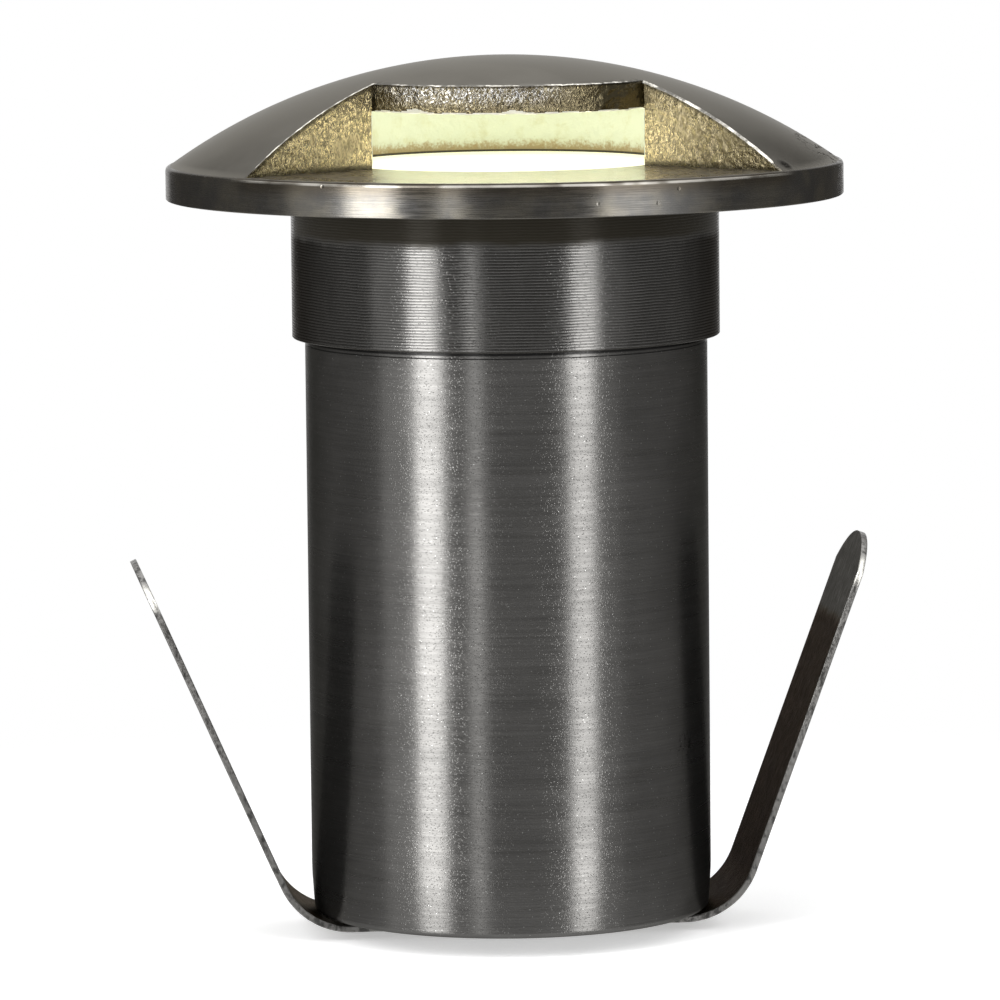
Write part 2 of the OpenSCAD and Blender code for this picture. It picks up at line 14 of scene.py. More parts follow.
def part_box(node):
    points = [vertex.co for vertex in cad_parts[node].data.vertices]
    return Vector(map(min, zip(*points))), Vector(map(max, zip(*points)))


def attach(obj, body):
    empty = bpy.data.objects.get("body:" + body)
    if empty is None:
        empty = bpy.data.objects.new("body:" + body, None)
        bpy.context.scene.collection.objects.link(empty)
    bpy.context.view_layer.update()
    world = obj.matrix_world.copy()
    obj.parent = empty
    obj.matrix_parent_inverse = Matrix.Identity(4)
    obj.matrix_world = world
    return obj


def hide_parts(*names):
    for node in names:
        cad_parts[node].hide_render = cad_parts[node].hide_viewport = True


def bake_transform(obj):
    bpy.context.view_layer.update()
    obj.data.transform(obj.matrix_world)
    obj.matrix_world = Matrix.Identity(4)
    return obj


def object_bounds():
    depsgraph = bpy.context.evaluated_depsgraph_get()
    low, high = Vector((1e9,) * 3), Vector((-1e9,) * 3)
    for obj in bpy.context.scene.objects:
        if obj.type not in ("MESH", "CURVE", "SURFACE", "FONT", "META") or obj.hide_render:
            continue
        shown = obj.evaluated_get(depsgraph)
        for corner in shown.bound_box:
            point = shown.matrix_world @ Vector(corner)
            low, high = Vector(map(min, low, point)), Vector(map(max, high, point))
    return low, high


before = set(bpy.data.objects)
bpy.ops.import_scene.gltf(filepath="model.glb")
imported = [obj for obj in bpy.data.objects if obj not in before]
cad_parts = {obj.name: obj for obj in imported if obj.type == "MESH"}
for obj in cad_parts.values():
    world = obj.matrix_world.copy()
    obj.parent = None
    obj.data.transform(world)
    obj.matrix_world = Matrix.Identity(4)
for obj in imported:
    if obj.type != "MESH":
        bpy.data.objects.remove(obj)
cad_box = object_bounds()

bl_info = {
    "name": "Well light",
    "version": (1, 0, 0),
    "blender": (4, 5, 0),
    "location": "View3D > Sidebar > Well light",
    "description": "Builds the visual pieces of an in-ground well light",
    "category": "Add Mesh",
}

MM = 0.001


def top(node):
    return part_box(node)[1].z


def low(node):
    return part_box(node)[0].z


def reach(node):
    """Outer radius of a round node."""
    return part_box(node)[1].x


# Places that the frame gives
CAP_R = reach("dome_cap")
DOME_TOP = top("dome_cap")
SKIRT_LOW = low("dome_cap")
FLOOR_Z = top("glass_lens")
SHOULDER_Z = top("glass_gasket_upper")
GLASS_FLANGE_R = reach("glass_lens")
SEAL_SEAT_R = reach("skirt_seal")
SEAL_TOP = top("skirt_seal")
TUBE_R = reach("body_tube")
TUBE_TOP = top("body_tube")
BASE_Z = low("body_tube")
STRIP_TOP = low("base_washer")
THREAD_TOP = TUBE_TOP + 0.6 * MM
# Places of the flaws, in millimetres: three by the cap's right rim and one on the tube
FLAW = (31, -5, 3.4)
DENT = (25.1, -18, 3.7)
DULL_PATCH = (12.8, -29.3, 1.5)
TUBE_MARK = (16.2, -10.4, -51.5)
# Drips along the lintel's lower edge, in millimetres: place across, width and height of each
DRIPS = ((-8.8, 0.9, 0.36), (0.1, 1.0, 0.24), (-11.5, 0.6, 0.12))
# The cap's finishes, in the order of its material slots
DOME, RIM, FLAT, SKIRT, WALL, BORE, LIP, THREAD, LINTEL, FLANGE = range(10)
# Lamps: direction in degrees, height, distance, width, length and brightness of each
LAMPS = {
    "strip_left": (-47.8, 0.08, 0.8, 0.23, 1.1, 8.0),
    "strip_right": (40.2, 0.08, 0.8, 0.2, 1.1, 6.2),
    "strip_weak": (-20.6, 0.08, 0.9, 0.11, 1.1, 2.7),
    "wash_left": (-64.0, 0.15, 1.0, 0.55, 1.1, 0.75),
    "wash_right": (56.0, 0.15, 1.0, 0.3, 1.1, 0.3),
    "high_left": (-52.0, 0.75, 0.65, 0.45, 0.2, 4.0),
    "high_right": (56.0, 0.75, 0.65, 0.35, 0.2, 2.6),
    "overhead": (0.0, 1.0, 0.05, 1.6, 1.6, 0.6),
}
WHITE = (1.0, 1.0, 1.0, 1.0)


# Settings: the sizes and colours that a user would change


def length(name, text, size, least=0.0):
    """A length, given in millimetres."""
    sizes = {"default": size * MM, "min": least * MM}
    return FloatProperty(name=name, description=text, unit="LENGTH", subtype="DISTANCE", **sizes)


def angle(name, text, degrees):
    value = math.radians(degrees)
    return FloatProperty(name=name, description=text, default=value, unit="ROTATION", subtype="ANGLE")


def share(name, text, value):
    return FloatProperty(name=name, description=text, default=value, min=0.0, max=1.0, subtype="FACTOR")


def colour(name, text, value):
    limits = {"size": 3, "min": 0.0, "max": 1.0}
    return FloatVectorProperty(name=name, description=text, default=value, subtype="COLOR", **limits)


class CapSettings(bpy.types.PropertyGroup):
    rim_height: length("Rim height", "Height of the rim's upright face", 2.7)
    rim_round: length("Rim rounding", "Rounding of the rim's upper edge", 0.45)
    edge_break: length("Edge break", "Bevel of the rim's lower edge and the skirt's end", 0.08)
    skirt_radius: length("Skirt radius", "Outer radius of the skirt", 20.25)
    bore_radius: length("Light bore radius", "Radius of the bore that the light comes up", 15.3)
    thread_bore_radius: length("Threaded bore radius", "Radius of the skirt's threaded bore", 19.02)
    thread_depth: length("Thread depth", "Depth of the thread cut into the skirt's bore", 0.35)
    thread_pitch: length("Thread pitch", "Pitch of the thread between cap and tube", 1.5, 0.5)
    lintel_radius: length("Lintel radius", "Radius of the round wall over the window", 15)
    window_half: length("Half window", "Half the width between the window's inner corners", 12.5)
    window_spread: angle("Window spread", "Angle that each side wall opens at", 47)
    opening_height: length("Opening height", "Height between the window's floor and the bore's ceiling", 5.25)
    cast_relief: length("Cast relief", "Depth of the rough cast skin in the window", 0.1)
    lip_left: length("Left edge break", "Width of the worn edge on the window's left side", 0.08)
    lip_lintel: length("Lintel edge break", "Width of the worn edge over the window", 0.07)
    lip_right: length("Right edge break", "Width of the worn edge on the window's right side", 0.24)


class HousingSettings(bpy.types.PropertyGroup):
    bore_radius: length("Tube bore radius", "Inner radius of the tube", 17.55)
    thread_radius: length("Thread radius", "Radius over the thread's crests", 18.95)
    thread_low: length("Thread end", "Distance of the thread's lower end below the deck", 13.8)
    thread_depth: length("Thread depth", "Depth of the thread cut into the tube", 0.45)
    foot_height: length("Foot height", "Height over which the foot draws in", 3.6)
    foot_taper: length("Foot taper", "How far the foot draws in", 0.2)
    foot_edge: length("Foot edge", "Rounding of the tube's lower edge", 0.6)


class ClipSettings(bpy.types.PropertyGroup):
    width: length("Strip width", "Width of the spring strip", 12.7)
    thickness: length("Strip thickness", "Thickness of the spring strip", 0.6)
    turn: angle("Turn", "Turn of the clip from square to the window", 3.8)
    flat: length("Half flat", "Half the flat length under the base", 15.9)
    bend_radius: length("Bend radius", "Radius of each bend at the middle of the strip", 7)
    arm_length: length("Arm length", "Straight length of each arm", 33.4)
    splay_left: angle("Left splay", "Angle of the left arm from upright", 23.6)
    splay_right: angle("Right splay", "Angle of the right arm from upright", 20.2)
    tip_height: length("Tip height", "Height of each arm's curved tip", 3.4)
    hole_radius: length("Hole radius", "Radius of the hole for the bushing", 3.6)


class ColourSettings(bpy.types.PropertyGroup):
    satin_steel: colour("Satin steel", "Colour of the dome's satin steel", (0.17, 0.163, 0.148))
    turned_steel: colour("Turned steel", "Colour of the rim, skirt and tube", (0.14, 0.137, 0.132))
    cast_steel: colour("Cast steel", "Colour of the rough cast walls in the window", (0.33, 0.28, 0.165))
    spring_steel: colour("Spring steel", "Colour of the clip's faces", (0.052, 0.042, 0.028))
    light: colour("Light", "Colour of the light under the glass", (1.0, 0.9, 0.6))
    rubber: colour("Rubber", "Colour of the black seals", (0.018, 0.018, 0.019))


class StageSettings(bpy.types.PropertyGroup):
    azimuth: angle("Azimuth", "Direction of the camera round the light", -2.6)
    elevation: angle("Elevation", "Height of the camera over the horizon", 6.505)
    roll: angle("Roll", "Roll of the camera", -0.591)
    distance: length("Distance", "Distance of the camera from its target", 647.9)
    target_x: length("Target offset", "Sideways place of the camera's target", -0.738, -1000)
    target_z: length("Target height", "Height of the camera's target", -29.03, -1000)
    focal: FloatProperty(name="Focal length", description="In millimetres", default=245.54, min=1.0)
    floor_radius: length("Floor radius", "Radius at which the floor has faded into the background", 140)
    surround: share("Surround", "Level of the light that comes from all sides", 0.42)
    card_level: share("Card level", "Grey of the dark card that the metal reflects", 0.24)


GROUPS = {
    "well_cap": CapSettings,
    "well_housing": HousingSettings,
    "well_clip": ClipSettings,
    "well_colours": ColourSettings,
    "well_stage": StageSettings,
}


# Nodes


class Graph:
    """Nodes of a material or of the world."""

    def __init__(self, tree):
        self.nodes, self.links = tree.nodes, tree.links

    def add(self, kind, *values, **settings):
        """A node with its settings, and with values for its first sockets."""
        node = self.nodes.new(kind)
        for key, value in settings.items():
            setattr(node, key, value)
        for socket, value in zip(node.inputs, values):
            self.feed(socket, value)
        return node

    def feed(self, socket, value):
        """Wires an output into a socket, or sets the socket's own value."""
        if isinstance(value, bpy.types.NodeSocket):
            self.links.new(value, socket)
        else:
            socket.default_value = value

    def maths(self, operation, first, second=0.0, clamp=False):
        return self.add("ShaderNodeMath", first, second, operation=operation, use_clamp=clamp).outputs[0]

    def plus(self, first, second, clamp=False):
        return self.maths("ADD", first, second, clamp)

    def times(self, first, second):
        return self.maths("MULTIPLY", first, second)

    def band(self, value, start, end, low_end=0.0, high_end=1.0):
        """Rises from one level to another as the value goes from start to end."""
        values = (value, start, end, low_end, high_end)
        return self.add("ShaderNodeMapRange", *values, interpolation_type="SMOOTHSTEP").outputs[0]

    def seen(self):
        """One for what the camera sees, straight or in metal and glass."""
        rays = self.add("ShaderNodeLightPath").outputs
        mirrored = self.maths("MAXIMUM", rays["Is Camera Ray"], rays["Is Glossy Ray"])
        return self.maths("MAXIMUM", mirrored, rays["Is Transmission Ray"])


class Finish(Graph):
    """A material under construction. Patterns read Object coordinates; sizes are in millimetres."""

    def __init__(self, name, base, metallic=0.0, roughness=0.5):
        self.material = bpy.data.materials.new(name)
        self.material.use_nodes = True
        super().__init__(self.material.node_tree)
        self.shader = self.nodes["Principled BSDF"]
        self.place = self.add("ShaderNodeTexCoord").outputs["Object"]
        self.normal = None
        self.paint((*base, 1.0))
        self.set("Metallic", metallic)
        self.set("Roughness", roughness)

    def set(self, name, value):
        self.feed(self.shader.inputs[name], value)

    def paint(self, value):
        self.set("Base Color", value)

    def shine(self, pattern, low_end, high_end):
        """Roughness that follows a pattern."""
        self.set("Roughness", self.band(pattern, 0.3, 0.7, low_end, high_end))

    def where(self, scale):
        """Object coordinates, with a scale for each axis if one is given."""
        if not scale:
            return self.place
        node = self.add("ShaderNodeMapping", self.place)
        node.inputs["Scale"].default_value = scale
        return node.outputs[0]

    def grain(self, size, detail=3.0, rough=0.6, scale=None, warp=0.0):
        """Noise whose features are about one size wide."""
        node = self.add("ShaderNodeTexNoise", self.where(scale))
        node.inputs["Scale"].default_value = 1.0 / (size * MM)
        node.inputs["Detail"].default_value = detail
        node.inputs["Roughness"].default_value = rough
        node.inputs["Distortion"].default_value = warp
        return node.outputs[0]

    def cells(self, size, feature="F1", scale=None):
        """Distance in a pattern of cells that are about one size wide."""
        node = self.add("ShaderNodeTexVoronoi", self.where(scale), feature=feature)
        node.inputs["Scale"].default_value = 1.0 / (size * MM)
        return node.outputs["Distance"]

    def dots(self, size, inner, outer):
        """Scattered dots, given as shares of the size that they are apart."""
        return self.band(self.cells(size), inner, outer, 1.0, 0.0)

    def veins(self, size, width, detail, scale):
        """Thin wandering lines, like cracks or creases."""
        level = self.maths("ABSOLUTE", self.maths("SUBTRACT", self.grain(size, detail, 0.6, scale), 0.5))
        return self.band(level, 0.0, width, 1.0, 0.0)

    def axis(self, name):
        return self.add("ShaderNodeSeparateXYZ", self.place).outputs[name]

    def radius(self):
        x, y = self.axis("X"), self.axis("Y")
        return self.maths("SQRT", self.plus(self.times(x, x), self.times(y, y)))

    def span(self, value, start, end, low_end=0.0, high_end=1.0, above=0.0):
        """A band over a length, from a place if one is given."""
        return self.band(value, above + start * MM, above + end * MM, low_end, high_end)

    def distance(self, centre):
        return self.add("ShaderNodeVectorMath", self.place, centre, operation="DISTANCE").outputs["Value"]

    def spot(self, centre, inner, outer):
        """One inside a ball about a point, falling to nothing outside it."""
        return self.span(self.distance([c * MM for c in centre]), inner, outer, 1.0, 0.0)

    def under_tip(self):
        """Height measured from the tip of the clip's arm on that side."""
        tips = self.span(self.axis("X"), -1, 1, top("clip_arm_left"), top("clip_arm_right"))
        return self.maths("SUBTRACT", self.axis("Z"), tips)

    def under_edge(self, dome, depth):
        """Shade of a wall close under a dome's edge. The dome is its centre's height and its radius."""
        centre_z, dome_r = dome
        return self.span(self.distance((0.0, 0.0, centre_z)), -depth, -0.4 * depth, 0.0, 0.85, dome_r)

    def mixed(self, factor, first, second):
        node = self.add("ShaderNodeMix", factor, data_type="RGBA")
        for socket, value in ((node.inputs[6], first), (node.inputs[7], second)):
            self.feed(socket, (*value, 1.0) if isinstance(value, tuple) else value)
        return node.outputs[2]

    def tints(self, factor, base, darker, paler):
        """The base colour, from a darker to a paler tint of it."""
        return self.mixed(factor, tinted(base, darker), tinted(base, paler))

    def bump(self, height, depth):
        """Adds relief of a real depth, on top of what is there."""
        node = self.add("ShaderNodeBump")
        node.inputs["Distance"].default_value = depth * MM
        self.feed(node.inputs["Height"], height)
        if self.normal:
            self.feed(node.inputs["Normal"], self.normal)
        self.normal = node.outputs[0]
        self.set("Normal", self.normal)

    def sink(self, pattern, depth):
        self.bump(self.times(pattern, -1.0), depth)

    def brushed_round(self, strength):
        """Gloss that spreads across marks running round the axis."""
        tangent = self.add("ShaderNodeTangent", direction_type="RADIAL", axis="Z")
        self.set("Anisotropic", strength)
        self.set("Anisotropic Rotation", 0.25)
        self.set("Tangent", tangent.outputs[0])

    def turned_lines(self, along, pitch, wander=0.25):
        """Tool marks at a pitch along a value, a little uneven."""
        drift = self.times(self.grain(9 * pitch, 2.0, 0.5), wander * pitch * MM)
        phase = self.times(self.plus(along, drift), 2 * math.pi / (pitch * MM))
        return self.band(self.maths("SINE", phase), -1.0, 1.0)


# Finishes


def tone(name):
    """One of the colours that a user can set."""
    return tuple(getattr(bpy.context.scene.well_colours, name))


def tinted(base, factor):
    return tuple(min(1.0, c * factor) for c in base)


def satin_dome():
    """Bead-blasted and lightly polished steel of the dome, with cracks near its right rim."""
    base = tone("satin_steel")
    steel = Finish("cap_dome_satin", base, 1.0)
    cloud = steel.grain(7)
    fine = steel.grain(0.16, 2.0, 0.6)
    mottled = steel.tints(steel.band(cloud, 0.35, 0.7), base, 0.9, 1.1)
    marks = steel.veins(2.4, 0.035, 4.0, (1.0, 0.6, 1.8))
    cracks = steel.times(marks, steel.spot(FLAW, 2.5, 6.4))
    ragged = steel.times(steel.spot(DENT, 0.25, 1.1), steel.band(fine, 0.3, 0.5, 0.6, 1.0))
    scratch = steel.plus(cracks, ragged, True)
    steel.paint(steel.mixed(scratch, mottled, (0.015, 0.014, 0.013)))
    steel.set("Roughness", steel.plus(steel.band(cloud, 0.3, 0.75, 0.33, 0.39), steel.times(scratch, 0.3)))
    steel.set("Specular Tint", (0.66, 0.64, 0.6, 1.0))
    steel.bump(fine, 0.003)
    steel.sink(scratch, 0.06)
    return steel


def turned_rim():
    """Upright face of the rim: fine turned lines with small nicks, a cracked patch on the right, and at the
    front a painted highlight line and a band of painted dark reflection along the rounding.
    """
    base = tone("turned_steel")
    steel = Finish("cap_rim_turned", base, 1.0)
    streaks = steel.grain(0.12, 2.0, 0.6, (0.03, 0.03, 1.0))
    cloud = steel.grain(3)
    clouded = steel.mixed(steel.band(cloud, 0.3, 0.75), tinted(base, 0.84), (0.175, 0.163, 0.138))
    marks = steel.veins(1.8, 0.045, 4.0, (0.7, 0.7, 1.6))
    crack = steel.times(marks, steel.spot(FLAW, 1.5, 6))
    height = steel.axis("Z")
    front = steel.span(steel.axis("Y"), -21, -18, 1.0, 0.0)
    haze = steel.span(height, -1.9, -0.4, 0.0, 0.5, FLOOR_Z)
    hazed = steel.mixed(steel.times(haze, front), clouded, (0.075, 0.055, 0.03))
    # Painted highlight, partly wear: a bright line along the rim's rounding at the front, rubbed bright in
    # patches, stands in for the lamps' reflection.
    patchy = steel.times(front, steel.band(steel.grain(4, 2.0, 0.5), 0.36, 0.56, 0.15, 1.0))
    brightened = steel.times(steel.span(height, -0.42, -0.32, 0.0, 0.7, FLOOR_Z), patchy)
    lined = steel.mixed(brightened, hazed, (0.6, 0.58, 0.53))
    # Painted dark reflection: the top of the rounding at the front is painted dark brown.
    rounding = steel.span(height, -0.2, -0.12, 0.0, 0.85, FLOOR_Z)
    reflection_darkened = steel.mixed(steel.times(rounding, front), lined, (0.03, 0.022, 0.013))
    steel.paint(steel.mixed(crack, reflection_darkened, (0.012, 0.011, 0.01)))
    dull = steel.times(steel.spot(DULL_PATCH, 3, 8), 0.2)
    steel.set("Roughness", steel.plus(steel.band(streaks, 0.3, 0.7, 0.21, 0.32), dull))
    steel.set("Specular Tint", (0.5, 0.49, 0.48, 1.0))
    steel.brushed_round(0.75)
    steel.bump(steel.turned_lines(height, 0.2), 0.004)
    steel.bump(streaks, 0.005)
    steel.sink(crack, 0.08)
    steel.sink(steel.dots(2.3, 0.03, 0.09), 0.02)
    return steel


def turned_floor(window_half):
    """Flat turned faces, rubbed bright before the glass and tarnished beside it."""
    base = (0.68, 0.65, 0.66)
    steel = Finish("cap_faced_flat", base, 1.0)
    smear = steel.band(steel.grain(1.5, 3.0, 0.7), 0.3, 0.7)
    brightened = steel.tints(smear, base, 0.9, 1.1)
    tarnished = steel.mixed(smear, (0.27, 0.25, 0.21), (0.36, 0.34, 0.3))
    ragged = steel.plus(steel.maths("ABSOLUTE", steel.axis("X")), steel.times(smear, 0.9 * MM))
    aside = steel.span(ragged, -2, 2.5, above=window_half)
    steel.paint(steel.mixed(aside, brightened, tarnished))
    steel.set("Specular Tint", steel.mixed(aside, (1.0, 1.0, 1.0), (0.42, 0.4, 0.36)))
    smooth = steel.band(steel.grain(2), 0.3, 0.7, 0.1, 0.2)
    steel.set("Roughness", steel.plus(smooth, steel.times(aside, 0.14)))
    steel.bump(steel.turned_lines(steel.radius(), 0.16), 0.0006)
    return steel


def turned_skirt():
    """Skirt with the grooves of a fast feed. Painted shade darkens the corner under the rim and a thin line
    along its lower edge, and the groove roots are painted darker as painted shade of the grooves.
    """
    base = tone("turned_steel")
    steel = Finish("cap_skirt_turned", base)
    height = steel.axis("Z")
    grooves = steel.turned_lines(height, 0.27, 0.5)
    streaks = steel.grain(0.1, 2.0, 0.6, (0.03, 0.03, 1.0))
    cloud = steel.grain(4, 3.0, 0.6, (1.0, 1.0, 0.5))
    # Painted shade: the corner under the rim, where the rim shades it, and a thin line along the skirt's
    # lower edge are painted dark and matt.
    edge = steel.plus(height, steel.times(cloud, 1.2 * MM))
    corner = steel.span(edge, -3.3, -2.2, 0.0, 0.93)
    painted_shade = steel.plus(corner, steel.span(height, 0.04, 0.14, 0.7, 0.0, SKIRT_LOW), True)
    crests = steel.tints(steel.band(cloud, 0.3, 0.75), base, 0.85, 1.15)
    # Painted shade of the grooves: their roots are painted darker than their crests.
    groove_shaded = steel.mixed(steel.band(grooves, 0.0, 0.5), tinted(base, 0.45), crests)
    steel.paint(steel.mixed(painted_shade, groove_shaded, (0.021, 0.018, 0.012)))
    steel.set("Metallic", steel.maths("SUBTRACT", 1.0, painted_shade))
    steel.set("Specular IOR Level", 0.1)
    steel.shine(streaks, 0.22, 0.3)
    steel.set("Specular Tint", (0.4, 0.39, 0.38, 1.0))
    steel.brushed_round(0.92)
    steel.bump(grooves, 0.018)
    steel.bump(streaks, 0.003)
    steel.bump(steel.dots(0.24, 0.1, 0.34), 0.005)
    return steel


def cast_skin(dome):
    """Rough cast walls of the window: glossy upright wrinkles, smoother on the right wall, with their crests
    painted paler and hollows darker as painted shade, and painted shade at their foot and under the dome's
    edge.
    """
    base = tone("cast_steel")
    steel = Finish("cap_window_cast", base, 0.9)
    across = steel.axis("X")
    wrinkles = steel.grain(0.26, 2.0, 0.5, (1.3, 1.3, 0.5), 1.2)
    smooth = steel.span(across, 14, 18, 1.0, 0.35)
    patch = steel.grain(3.5, 2.0, 0.5)
    # Painted shade and highlight of the wrinkles: crests are painted paler and hollows darker.
    crests = steel.times(steel.band(wrinkles, 0.38, 0.62), smooth)
    skin = steel.tints(crests, base, 0.56, 1.5)
    # The blotch mask also darkens the whole right wall from 11 to 14 mm across.
    blotches = steel.plus(steel.band(patch, 0.5, 0.75, 0.0, 0.4), steel.span(across, 11, 14, 0.0, 0.28))
    blotched = steel.mixed(blotches, skin, tinted(base, 0.5))
    ragged = steel.plus(steel.axis("Z"), steel.times(wrinkles, -0.9 * MM))
    foot = steel.span(ragged, -0.35, 0.15, 0.85, 0.0, FLOOR_Z)
    shade = steel.maths("MAXIMUM", foot, steel.under_edge(dome, 0.6))
    steel.paint(steel.mixed(shade, blotched, tinted(base, 0.16)))
    steel.set("Roughness", steel.band(patch, 0.35, 0.7, 0.2, 0.32))
    steel.bump(steel.times(wrinkles, smooth), 0.14)
    steel.bump(steel.grain(0.13, 2.0, 0.5), 0.02)
    return steel


def cast_lintel(dome):
    """Wall over the opening: glossy curling wrinkles with painted shade in their hollows, painted glints high
    in the middle, painted shade in its corners and under the dome's edge, and smooth at the right end.
    """
    base = tinted(tone("cast_steel"), 0.55)
    steel = Finish("cap_lintel_wrinkled", base, 1.0)
    across = steel.axis("X")
    curls = steel.grain(0.5, 2.0, 0.5, (1.15, 1.0, 0.8), 2.6)
    # Painted shade in the corners: the curls' pale tint fades out towards both ends, which leaves them
    # darker.
    calm = steel.span(across, 6.5, 9, 1.0, 0.2)
    lively = steel.times(calm, steel.span(across, -12.2, -9.2, 0.15, 1.0))
    shade = steel.times(steel.band(curls, 0.4, 0.7), lively)
    skin = steel.tints(shade, base, 0.72, 1.6)
    # Painted glints: high in the middle, the curls are painted near white where they would reflect the lamps
    # in front.
    height = steel.plus(steel.axis("Z"), steel.times(curls, 1.4 * MM))
    glint_area = steel.times(steel.span(height, 9.6, 11), steel.span(across, 1, 7, 1.0, 0.0))
    glinted = steel.mixed(steel.times(glint_area, shade), skin, (0.44, 0.44, 0.44))
    steel.paint(steel.mixed(steel.under_edge(dome, 0.36), glinted, tinted(base, 0.2)))
    steel.set("Roughness", steel.band(curls, 0.35, 0.65, 0.26, 0.16))
    steel.bump(steel.times(curls, calm), 0.12)
    return steel


def cast_bore(ceiling_z):
    """Light bore: painted cream as painted light from the lamp, and paler still towards the ceiling, with
    brown stains and a line of dirt along the glass.
    """
    # Painted light: the cream stands in for the lamp's light on the bore's walls.
    cream = (0.455, 0.505, 0.455)
    steel = Finish("cap_bore_baked", cream)
    height = steel.axis("Z")
    blobs = steel.plus(steel.grain(0.9, 4.0, 0.7), steel.grain(0.25, 2.0, 0.6))
    ragged = steel.plus(height, steel.times(blobs, -1.5 * MM))
    mottle = steel.band(steel.grain(1.6, 4.0, 0.65), 0.48, 0.72, 0.0, 0.45)
    lit_pale = steel.mixed(mottle, cream, (0.36, 0.36, 0.22))
    stain = steel.span(ragged, -1.25, -0.2, 0.9, 0.0, FLOOR_Z)
    stained = steel.mixed(stain, lit_pale, (0.24, 0.175, 0.08))
    # Painted light: the wall is painted paler just under the bore's ceiling.
    walls = steel.mixed(steel.span(height, -0.35, -0.05, above=ceiling_z), stained, (0.58, 0.58, 0.51))
    dirt = steel.span(height, 0.13, 0.2, 1.0, 0.0, FLOOR_Z)
    steel.paint(steel.mixed(dirt, walls, (0.02, 0.016, 0.01)))
    steel.bump(steel.grain(0.5), 0.05)
    return steel


def worn_and_highlight_edge():
    """Thin line along the window's edge, painted bright: partly wear and partly a painted highlight."""
    bright, dull = tinted(tone("satin_steel"), 5.0), tinted(tone("satin_steel"), 0.9)
    steel = Finish("cap_edge_worn", bright, 1.0)
    rub = steel.grain(2.2, 4.0, 0.7)
    # Painted highlight, partly wear: the edge is painted in patches at up to five times the dome's colour.
    steel.paint(steel.mixed(steel.band(rub, 0.4, 0.62), dull, bright))
    steel.set("Roughness", steel.band(rub, 0.35, 0.7, 0.4, 0.2))
    steel.bump(rub, 0.03)
    steel.sink(steel.dots(1.3, 0.1, 0.2), 0.05)
    return steel


def brushed_tube():
    """Tube brushed round its axis, with painted glints as bright specks, a few dark marks and a painted
    shadow under the skirt.
    """
    base = tone("turned_steel")
    steel = Finish("tube_brushed", base, 0.94)
    brush = steel.grain(0.09, 3.0, 0.65, (0.012, 0.012, 1.0))
    coarse = steel.grain(0.5, 2.0, 0.6, (0.02, 0.02, 1.0))
    cloud = steel.grain(9)
    shade = steel.times(steel.band(cloud, 0.3, 0.75, 0.92, 1.08), steel.band(brush, 0.3, 0.7, 0.92, 1.08))
    brushed = steel.tints(steel.band(shade, 0.8, 1.2), base, 0.76, 1.12)
    # Painted glints: scattered small dots painted pale.
    glint_speckled = steel.mixed(steel.dots(0.5, 0.06, 0.12), brushed, (0.36, 0.36, 0.35))
    edge = steel.plus(steel.axis("Z"), steel.times(coarse, 0.12 * MM))
    shadow = steel.span(edge, -0.4, -0.26, 0.0, 0.85, SKIRT_LOW)
    crack = steel.veins(1.1, 0.03, 3.0, (1.6, 1.6, 0.5))
    dark = steel.plus(steel.times(crack, steel.spot(TUBE_MARK, 0.5, 2.2)), shadow, True)
    steel.paint(steel.mixed(dark, glint_speckled, (0.01, 0.01, 0.01)))
    steel.shine(coarse, 0.27, 0.34)
    steel.set("Specular Tint", (0.36, 0.36, 0.35, 1.0))
    steel.brushed_round(0.88)
    steel.bump(brush, 0.004)
    steel.bump(coarse, 0.0014)
    steel.bump(steel.grain(0.15, 1.0, 0.5, (0.22, 0.22, 1.0)), 0.007)
    steel.bump(steel.dots(0.21, 0.1, 0.34), 0.006)
    return steel


def threaded_steel():
    """Cut thread, its tone drifting at random between darker and brighter."""
    base = tinted(tone("turned_steel"), 1.4)
    steel = Finish("thread_cut", base, 1.0, 0.3)
    steel.paint(steel.tints(steel.grain(1.2), base, 0.6, 1.3))
    steel.bump(steel.grain(0.08, 2.0, 0.6, (0.05, 0.05, 1.0)), 0.01)
    return steel


def spring_faces():
    """Faces of the clip: dark rolled strip with a brown oxide skin, painted paler grey at the tips as a
    painted reflection.
    """
    base = tone("spring_steel")
    steel = Finish("clip_face_rolled", base, 0.9)
    cloud = steel.grain(4, 3.0, 0.65)
    rolled = steel.grain(0.14, 2.0, 0.6, (0.3, 1.0, 0.06))
    # Painted reflection: the faces near the tips are painted a paler grey.
    tip = steel.span(steel.plus(steel.under_tip(), steel.times(cloud, 2 * MM)), -7.6, -6.2)
    brown = steel.tints(steel.band(cloud, 0.3, 0.75), base, 0.45, 0.8)
    paler = steel.mixed(tip, brown, (0.075, 0.073, 0.068))
    steel.paint(steel.mixed(steel.dots(0.9, 0.03, 0.06), paler, (0.4, 0.39, 0.37)))
    steel.shine(rolled, 0.28, 0.48)
    steel.set("Specular Tint", steel.mixed(tip, (0.24, 0.175, 0.09), (0.38, 0.37, 0.35)))
    steel.bump(rolled, 0.008)
    return steel


def spring_edges():
    """Sheared edges of the clip: mid grey with dark flecks, and a painted glint near the tips, partly rubbed
    bright.
    """
    base = (0.24, 0.235, 0.226)
    steel = Finish("clip_edge_sheared", base, 1.0)
    flecks = steel.band(steel.grain(0.7, 3.0, 0.7, (1.0, 1.0, 0.5)), 0.36, 0.52)
    flecked = steel.tints(flecks, base, 0.4, 1.1)
    # Painted glint, partly wear: a band below each tip is painted near white.
    height = steel.under_tip()
    bright = steel.times(steel.span(height, -4.6, -3.4), steel.span(height, -2.6, -1.6, 1.0, 0.0))
    steel.paint(steel.mixed(bright, flecked, (0.8, 0.79, 0.74)))
    steel.shine(steel.grain(0.3, 2.0, 0.6), 0.28, 0.5)
    steel.bump(steel.grain(0.2, 2.0, 0.6), 0.02)
    return steel


